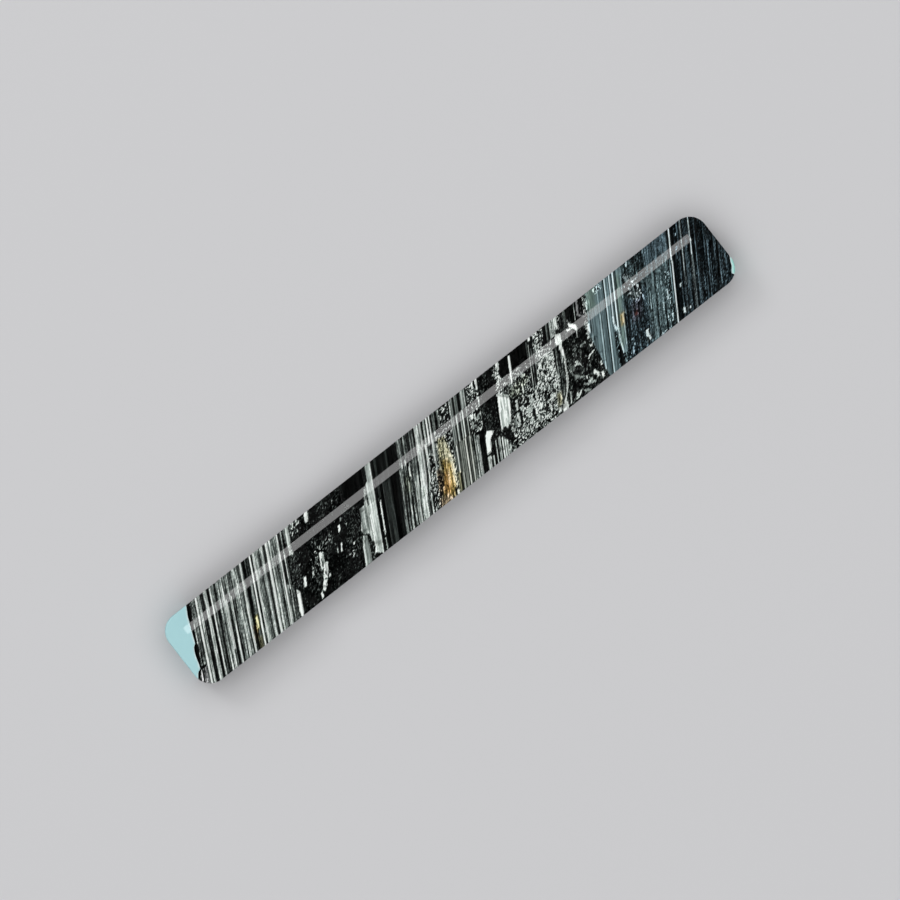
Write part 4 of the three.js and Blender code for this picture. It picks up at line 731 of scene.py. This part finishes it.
def levels(low, high, step):
    # Even rows with closer ones at both edges, where the top rounds off.
    edge = [0, 0.05, 0.15, 0.3, 0.5]
    inner = np.linspace(low + 0.5, high - 0.5, round((high - low - 1) / step) + 1)[1:-1]
    return [low + e for e in edge] + list(inner) + [high - e for e in reversed(edge)]


def evenly(low, high, step):
    return np.linspace(low, high, round((high - low) / step) + 1)


def sharpened(bm, shade):
    # Sets each vertex further off the mean of its neighbours, so that lines as thin as the mesh stay crisp.
    bm.verts.index_update()
    ends = np.array([[v.index for v in e.verts] for e in bm.edges])
    around = np.bincount(ends[:, 0], shade[ends[:, 1]], len(shade))
    around += np.bincount(ends[:, 1], shade[ends[:, 0]], len(shade))
    return np.clip(shade + stick["sharpness"] * (shade - around / np.bincount(ends.ravel())), 0, 1.3)


def extruded(bm, ring):
    made = bmesh.ops.extrude_edge_only(bm, edges=ring)["geom"]
    return [g for g in made if isinstance(g, bmesh.types.BMEdge)]


def sawnPiece(name, node, columns, rows, leftAt, rightAt, surface, sharp):
    # A piece sawn square: a fine top face inside the outline, sides in rings, and a flat bevelled underside.
    bm = bmesh.new()
    shadeLayer = bm.verts.layers.float.new("shade")
    roughLayer = bm.verts.layers.float.new("rough")
    fadeLayer = bm.verts.layers.float.new("fade")
    tintLayer = bm.verts.layers.float_vector.new("tint")
    placeLayer = bm.verts.layers.float_vector.new("crystalPlace")
    bmesh.ops.create_grid(bm, x_segments=len(columns) - 1, y_segments=len(rows) - 1, size=1)
    for v in bm.verts:
        y = rows[round((v.co.y + 1) / 2 * (len(rows) - 1))]
        station = columns[round((v.co.x + 1) / 2 * (len(columns) - 1))]
        v.co = (slant(station, y) * mm, y * mm, 0)
    x, y = np.array([v.co[:2] for v in bm.verts]).T / mm
    x = np.clip(x, leftAt(y), rightAt(y))
    for v, place in zip(bm.verts, x):
        v.co.x = place * mm
    bmesh.ops.remove_doubles(bm, verts=bm.verts, dist=0.01 * mm)
    x, y = np.array([v.co[:2] for v in bm.verts]).T / mm
    inset = stick["castInset"]
    yIn = np.clip(y, rows[0] + inset, rows[-1] - inset)
    xIn = np.clip(x, leftAt(yIn) + inset, rightAt(yIn) - inset)
    height, shade, tint, rough = surface(x, y, castHeights(node, xIn, yIn))
    shade = sharpened(bm, shade)
    depth = np.clip(outlineDepth(x, y), 0, stick["edgeRound"])
    height -= stick["edgeRound"] - np.sqrt(stick["edgeRound"] ** 2 - (stick["edgeRound"] - depth) ** 2)
    for v, z, s, t, r in zip(bm.verts, np.minimum(height, topLimit), shade, tint, rough):
        v.co.z = z * mm
        v[shadeLayer] = s
        v[roughLayer] = r
        v[tintLayer] = t
        v[fadeLayer] = 1
    top = set(bm.faces)
    ring = extruded(bm, [e for e in bm.edges if len(e.link_faces) == 1])
    for v in {v for e in ring for v in e.verts}:
        v.co.z -= stick["firstRing"] * mm
        v[fadeLayer] = stick["firstFade"]
    for level in stick["wallRings"]:
        ring = extruded(bm, ring)
        for v in {v for e in ring for v in e.verts}:
            v.co.z = level * mm
            v[fadeLayer] = 0
    ring = extruded(bm, ring)
    foot = list({v for e in ring for v in e.verts})
    low, high = np.min([v.co for v in foot], axis=0), np.max([v.co for v in foot], axis=0)
    shrink = 1 - 2 * stick["wallRings"][-1] * mm / np.maximum(high - low, 2 * mm)
    middle = Matrix.Translation(Vector((low + high) / -2))
    bmesh.ops.scale(bm, verts=foot, vec=(shrink[0], shrink[1], 0), space=middle)
    for v in foot:
        v.co.z = 0
    bmesh.ops.contextual_create(bm, geom=ring)
    for v in bm.verts:
        v[placeLayer] = (stationOf(v.co.x / mm, v.co.y / mm) * mm, v.co.y, v.co.z)
    bmesh.ops.recalc_face_normals(bm, faces=bm.faces)
    for f in bm.faces:
        f.smooth = True
        f.material_index = 0 if f in top else 1
    mesh = bpy.data.meshes.new(name)
    bm.to_mesh(mesh)
    bm.free()
    mesh.set_sharp_from_angle(angle=math.radians(sharp))
    piece = bpy.data.objects.new(name, mesh)
    bpy.context.collection.objects.link(piece)
    return piece


def tourmalineSurface(x, y, height):
    shade, rough, tint, fibre, specks = painted(stationOf(x, y), y)
    height = height + (1 - rough) * (stick["fibreRelief"] * fibre + stick["shadeRelief"] * (shade - 0.4))
    return height + rough * stick["grainRelief"] * specks, shade, tint, rough


stickPiece = sawnPiece(
    "sawnTourmaline", "tourmaline_stick", evenly(*stick["columns"], stick["columnStep"]),
    levels(-halfWidth, halfWidth, stick["rowStep"]), stickLeft, stickRight, tourmalineSurface,
    stick["sharpAngle"])
print("stick:", len(stickPiece.data.polygons), "faces")

resin = {
    "colour": "#A3CFD4",
    "tipColour": "#9CD6CE",
    # A painted highlight, of this colour and width, along the line where the resin meets the crystals.
    "rimHighlightColour": "#D2E8E8",
    "rimHighlightWidth": 0.25,
    "swell": 0.02,  # how far the ground face rises and falls
    "columns": (-71, -64),  # the left end's mesh runs between these stations
    "columnStep": 0.3,
    "bottom": -5,  # and down to this y
    "tipColumns": (70, 73),
    "tipColumnStep": 0.12,
    "tipBottom": -7.23,
    "tipTop": -4.04,
    "thinnest": 0.001,  # a row that the seam leaves no room in keeps this width
    "sharpAngle": 40,
    "cloudsPerMetre": 250,  # clouds in the filler, 4 mm across
    "ior": 1.52,
}


def resinSurface(x, y, height):
    line = lineAt("left" if x.mean() < 0 else "right", y)
    # The painted highlight along the seam with the crystals, carried in the shade attribute.
    rimHighlight = smoothStep(resin["rimHighlightWidth"], 0.4 * resin["rimHighlightWidth"], np.abs(x - line))
    swell = resin["swell"] * grain(x, y, 0.2, 0.2, 61.5)
    return np.full(len(x), height.max()) + swell, rimHighlight, np.ones((len(x), 3)), np.zeros(len(x))


def endRight(y):
    return np.maximum(lineAt("left", y) - resinLines["seam"], resin["thinnest"] - outlineEnd(y))


def tipLeft(y):
    return np.minimum(lineAt("right", y) + resinLines["seam"], outlineEnd(y) - resin["thinnest"])


endPiece = sawnPiece(
    "resinEnd", "blue_resin_end", evenly(*resin["columns"], resin["columnStep"]),
    levels(resin["bottom"], halfWidth, stick["rowStep"]), lambda y: -outlineEnd(y), endRight, resinSurface,
    resin["sharpAngle"])
tipPiece = sawnPiece(
    "resinTip", "blue_resin_tip", evenly(*resin["tipColumns"], resin["tipColumnStep"]),
    levels(resin["tipBottom"], resin["tipTop"], stick["rowStep"]), tipLeft, outlineEnd, resinSurface,
    resin["sharpAngle"])
print("resin:", len(endPiece.data.polygons) + len(tipPiece.data.polygons), "faces")


def addNode(tree, kind, settings=None, links=None):
    made = tree.nodes.new("ShaderNode" + kind)
    for name, value in (settings or {}).items():
        if name == "stops":
            stops = made.color_ramp.elements
            while len(stops) < len(value):
                stops.new(1)
            for stop, (at, colour) in zip(stops, value):
                stop.position = at
                stop.color = linearColour(colour) + [1]
        elif isinstance(name, int) or name in made.inputs:
            made.inputs[name].default_value = value
        else:
            setattr(made, name, value)
    for name, source in (links or {}).items():
        tree.links.new(source, made.inputs[name])
    return made


def newMaterial(name):
    material = bpy.data.materials.new(name)
    material.use_nodes = True
    material.node_tree.nodes.clear()
    return material, material.node_tree


# A levelled coat of clear polish over the whole top face, which mirrors the lamps as one even streak.
polish = {"roughness": 0, "ior": 1.5}


def addPolish(tree, shader):
    level = addNode(tree, "CombineXYZ", {"Z": 1})
    shader.inputs["Coat Weight"].default_value = 1
    shader.inputs["Coat Roughness"].default_value = polish["roughness"]
    shader.inputs["Coat IOR"].default_value = polish["ior"]
    tree.links.new(level.outputs[0], shader.inputs["Coat Normal"])


# Schorl, the black tourmaline, split along its crystals: glassy fluted faces under the polish, the bright of
# the flat ones and the black of the steep ones painted into the base colour as reflection and shade.
striated = {
    "shadeStops": [(0, "#000000"), (0.1, "#121514"), (0.2, "#2D3230"), (0.35, "#555C59"), (0.5, "#7A837F"),
                   (0.7, "#ABB5B0"), (0.85, "#D2DCD6"), (1, "#F4FAF6")],
    "fibresPerMetre": 4000,  # ribs of 0.25 mm, the finest that schorl commonly shows
    "fibreContrast": 2,
    "grainsPerMetre": 5400,  # broken grains of about 0.2 mm
    "grainContrast": 4,
    "cleanContrast": 0.35,  # how much of either shows on the cleanest faces
    "roughest": 0.28,
    "smoothest": 0.12,
    "ior": 1.64,
    "underCoat": 0.02,  # the crystals hardly mirror through a coat whose index is close to their own
}


def striatedSchorl():
    material, tree = newMaterial("striatedSchorl")
    place, shade, rough, tint = (
        addNode(tree, "Attribute", {"attribute_name": name})
        for name in ("crystalPlace", "shade", "rough", "tint"))
    across = striated["fibresPerMetre"]
    along = addNode(tree, "Mapping", {"Scale": (across, across / 9, across)},
                    {"Vector": place.outputs["Vector"]})
    fibres = addNode(tree, "TexNoise", {"Scale": 1, "Detail": 1}, {"Vector": along.outputs[0]})
    grains = addNode(tree, "TexNoise", {"Scale": striated["grainsPerMetre"], "Detail": 1},
                     {"Vector": place.outputs["Vector"]})
    fibreSwing, grainSwing = (
        addNode(tree, "Math", {"operation": "MULTIPLY_ADD", 1: contrast, 2: -contrast / 2},
                {0: pattern.outputs["Fac"]})
        for pattern, contrast in ((fibres, striated["fibreContrast"]), (grains, striated["grainContrast"])))
    swing = addNode(tree, "Mix", {}, {
        0: rough.outputs["Fac"], 2: fibreSwing.outputs[0], 3: grainSwing.outputs[0]})
    lively = addNode(tree, "MapRange", {"From Max": 0.2, "To Min": striated["cleanContrast"]},
                     {"Value": rough.outputs["Fac"]})
    strength = addNode(tree, "Math", {"operation": "MULTIPLY"},
                       {0: lively.outputs[0], 1: shade.outputs["Fac"]})
    mixed = addNode(tree, "Math", {"operation": "MULTIPLY_ADD"},
                    {0: swing.outputs[0], 1: strength.outputs[0], 2: shade.outputs["Fac"]})
    ramp = addNode(tree, "ValToRGB", {"stops": striated["shadeStops"]}, {"Fac": mixed.outputs[0]})
    tinted = addNode(tree, "Mix", {"data_type": "RGBA", "blend_type": "MULTIPLY", 0: 1},
                     {6: ramp.outputs["Color"], 7: tint.outputs["Color"]})
    gloss = addNode(tree, "MapRange", {"From Min": 0.2, "From Max": 0.8, "To Min": striated["smoothest"],
                                       "To Max": striated["roughest"]}, {"Value": fibres.outputs["Fac"]})
    bump = addNode(tree, "Bump", {"Strength": 0.3, "Distance": 0.03 * mm}, {"Height": fibres.outputs["Fac"]})
    shader = addNode(tree, "BsdfPrincipled",
                     {"IOR": striated["ior"], "Specular IOR Level": striated["underCoat"]},
                     {"Base Color": tinted.outputs[2], "Roughness": gloss.outputs[0],
                      "Normal": bump.outputs[0]})
    addPolish(tree, shader)
    addNode(tree, "OutputMaterial", {}, {"Surface": shader.outputs[0]})
    return material


# The same schorl sawn through and ground: the crystals show as faint columns of slightly different blacks
# with dusty seams, and fine saw lines run along the cut.
sawn = {
    "blacks": [(0, "#070909"), (0.5, "#121616"), (1, "#232A29")],
    "seamColour": "#3A4341",
    "columnsPerMetre": 800,  # crystals of 1.25 mm
    "sawLinesPerMetre": 2500,  # 0.4 mm apart, coarser than the saw's own grit so that they show
    "roughest": 0.5,
    "smoothest": 0.28,
}


def sawnSchorl():
    material, tree = newMaterial("sawnSchorl")
    place, shade, fade = (
        addNode(tree, "Attribute", {"attribute_name": name}) for name in ("crystalPlace", "shade", "fade"))
    where = addNode(tree, "TexCoord")
    across = sawn["columnsPerMetre"]
    along = addNode(tree, "Mapping", {"Scale": (across, across / 25, across)},
                    {"Vector": place.outputs["Vector"]})
    wavy = addNode(tree, "TexNoise", {"Scale": 0.8, "Detail": 2}, {"Vector": along.outputs[0]})
    bent = addNode(tree, "Mix", {"data_type": "VECTOR", 0: 0.12},
                   {4: along.outputs[0], 5: wavy.outputs["Color"]})
    cells = addNode(tree, "TexVoronoi", {"Scale": 1}, {"Vector": bent.outputs[1]})
    seams = addNode(tree, "TexVoronoi", {"Scale": 1, "feature": "DISTANCE_TO_EDGE"},
                    {"Vector": bent.outputs[1]})
    blacks = addNode(tree, "ValToRGB", {"stops": sawn["blacks"]}, {"Fac": cells.outputs["Color"]})
    seam = addNode(tree, "MapRange", {"From Min": 0, "From Max": 0.05, "To Min": 0.6, "To Max": 0},
                   {"Value": seams.outputs["Distance"]})
    dusty = addNode(tree, "Mix", {"data_type": "RGBA", 7: linearColour(sawn["seamColour"]) + [1]},
                    {0: seam.outputs[0], 6: blacks.outputs["Color"]})
    ramp = addNode(tree, "ValToRGB", {"stops": striated["shadeStops"]}, {"Fac": shade.outputs["Fac"]})
    # Near the top edge the side takes on the top's colour, painted reflection and shade included, fading out
    # downwards.
    topDown = addNode(tree, "Mix", {"data_type": "RGBA"},
                      {0: fade.outputs["Fac"], 6: dusty.outputs[2], 7: ramp.outputs["Color"]})
    lines = sawn["sawLinesPerMetre"]
    sawLines = addNode(tree, "Mapping", {"Scale": (lines / 60, lines / 60, lines)},
                       {"Vector": where.outputs["Object"]})
    scratches = addNode(tree, "TexNoise", {"Scale": 1, "Detail": 2}, {"Vector": sawLines.outputs[0]})
    gloss = addNode(tree, "MapRange", {"From Min": 0.2, "From Max": 0.8, "To Min": sawn["smoothest"],
                                       "To Max": sawn["roughest"]}, {"Value": scratches.outputs["Fac"]})
    bump = addNode(tree, "Bump", {"Strength": 0.25, "Distance": 0.04 * mm},
                   {"Height": scratches.outputs["Fac"]})
    shader = addNode(tree, "BsdfPrincipled", {"IOR": striated["ior"]},
                     {"Base Color": topDown.outputs[2], "Roughness": gloss.outputs[0],
                      "Normal": bump.outputs[0]})
    addNode(tree, "OutputMaterial", {}, {"Surface": shader.outputs[0]})
    return material


# Cast polyester resin with a pale blue filler, ground level and polished: even colour with faint clouds, a
# painted highlight along the line where it met the crystals, and a soft gloss.
def blueResin(name, colour, coated):
    material, tree = newMaterial(name)
    where = addNode(tree, "TexCoord")
    rimHighlight = addNode(tree, "Attribute", {"attribute_name": "shade"})
    clouds = addNode(tree, "TexNoise", {"Scale": resin["cloudsPerMetre"], "Detail": 3},
                     {"Vector": where.outputs["Object"]})
    base = linearColour(colour)
    paler = [1.05 * c for c in base]
    cloudy = addNode(tree, "Mix", {"data_type": "RGBA", 6: base + [1], 7: paler + [1]},
                     {0: clouds.outputs["Fac"]})
    # Mixes in the painted highlight along the seam with the crystals.
    withRimHighlight = addNode(tree, "Mix", {"data_type": "RGBA", 7: linearColour(resin["rimHighlightColour"]) + [1]},
                    {0: rimHighlight.outputs["Fac"], 6: cloudy.outputs[2]})
    gloss = addNode(tree, "MapRange", {"To Min": 0.3, "To Max": 0.42}, {"Value": clouds.outputs["Fac"]})
    bump = addNode(tree, "Bump", {"Strength": 0.1, "Distance": 0.02 * mm}, {"Height": clouds.outputs["Fac"]})
    shader = addNode(tree, "BsdfPrincipled", {"IOR": resin["ior"]},
                     {"Base Color": withRimHighlight.outputs[2], "Roughness": gloss.outputs[0],
                      "Normal": bump.outputs[0]})
    if coated:
        addPolish(tree, shader)
    addNode(tree, "OutputMaterial", {}, {"Surface": shader.outputs[0]})
    return material


def resinPair(suffix, colour):
    # The polished top and the sawn sides of one fill.
    return [blueResin("polishedResin" + suffix, colour, True), blueResin("sawnResin" + suffix, colour, False)]


for piece, node, slot, materials in (
    (stickPiece, "tourmaline_stick", "tourmaline", [striatedSchorl(), sawnSchorl()]),
    (endPiece, "blue_resin_end", "resin", resinPair("", resin["colour"])),
    (tipPiece, "blue_resin_tip", "resin", resinPair("Tip", resin["tipColour"])),
):
    for material in materials:
        piece.data.materials.append(material)
    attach(piece, "root")
    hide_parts(node)
print("materials done")

# Lengths here are metres, except the streak's own places on the stick, which are millimetres.
studio = {
    "floorColour": "#CBCBCD",
    "floorSize": 3,
    "floorDrop": 0.0001,
    "skyPower": 1.78,
    "skyStops": [(0, "#505050"), (0.6, "#707070"), (0.85, "#FFFFFF"), (0.975, "#FFFFFF"), (0.99, "#000000")],
    "keyPlace": (-0.3, 1.2, 1.2),
    "keySize": 0.6,
    "keyPower": 4,
    "streakHeight": 2.1,
    "streakLeft": -64,
    "streakRight": 64,
    "streakMiddle": 4.03,
    "streakWide": 1.6,
    "streakLevel": 8.3,
    "streakPower": 0.012,
    "lens": 400,
    "viewHeight": 2,  # of the camera above the top of the stick
    "viewTurn": -38,  # so that the stick rises to the right in the view
}

bm = bmesh.new()
bmesh.ops.create_grid(bm, x_segments=4, y_segments=4, size=studio["floorSize"] / 2)
bmesh.ops.translate(bm, verts=bm.verts, vec=(0, 0, -studio["floorDrop"]))
floorMesh = bpy.data.meshes.new("floor")
bm.to_mesh(floorMesh)
bm.free()
floor = bpy.data.objects.new("floor", floorMesh)
bpy.context.collection.objects.link(floor)
paper, paperTree = newMaterial("mattPaper")  # plain matt card
card = addNode(paperTree, "BsdfPrincipled", {
    "Base Color": linearColour(studio["floorColour"]) + [1], "Roughness": 0.9, "Specular IOR Level": 0.1})
addNode(paperTree, "OutputMaterial", {}, {"Surface": card.outputs[0]})
floorMesh.materials.append(paper)

world = bpy.data.worlds.new("studio")
bpy.context.scene.world = world
world.use_nodes = True
worldTree = world.node_tree
worldTree.nodes.clear()
direction = addNode(worldTree, "TexCoord")
parts = addNode(worldTree, "SeparateXYZ", {}, {0: direction.outputs["Generated"]})
sky = addNode(worldTree, "ValToRGB", {"stops": studio["skyStops"]}, {"Fac": parts.outputs["Z"]})
light = addNode(worldTree, "Background", {"Strength": studio["skyPower"]}, {"Color": sky.outputs["Color"]})
addNode(worldTree, "OutputWorld", {}, {"Surface": light.outputs[0]})

camera = bpy.data.cameras.new("overhead")
camera.lens = studio["lens"]
camera.sensor_width = 36
camera.clip_end = 50
viewer = bpy.data.objects.new("overhead", camera)
viewer.location = (0, 0, studio["viewHeight"] + studio["streakLevel"] * mm)
viewer.rotation_euler = (0, 0, math.radians(studio["viewTurn"]))
bpy.context.collection.objects.link(viewer)
bpy.context.scene.camera = viewer
bpy.context.scene.view_settings.view_transform = "Standard"


def addLamp(name, shape, place, power, size):
    lamp = bpy.data.lights.new(name, "AREA")
    lamp.energy = power
    lamp.shape = shape
    lamp.size, lamp.size_y = size
    made = bpy.data.objects.new(name, lamp)
    made.location = place
    bpy.context.collection.objects.link(made)
    return made


key = addLamp("key", "DISK", studio["keyPlace"], studio["keyPower"], (studio["keySize"], studio["keySize"]))
key.rotation_euler = (-Vector(studio["keyPlace"])).to_track_quat("-Z", "Y").to_euler()
# A strip lamp beside the camera, sized so that the level coat mirrors it as a thin streak along the stick.
lampRise = studio["streakHeight"] - studio["streakLevel"] * mm
spread = (1 + lampRise / studio["viewHeight"]) * mm
streakPlace = ((studio["streakLeft"] + studio["streakRight"]) / 2 * spread, studio["streakMiddle"] * spread,
               studio["streakHeight"])
streakSize = ((studio["streakRight"] - studio["streakLeft"]) * spread, studio["streakWide"] * spread)
streak = addLamp("streak", "RECTANGLE", streakPlace, studio["streakPower"], streakSize)
streak.visible_camera = False
print("studio done")
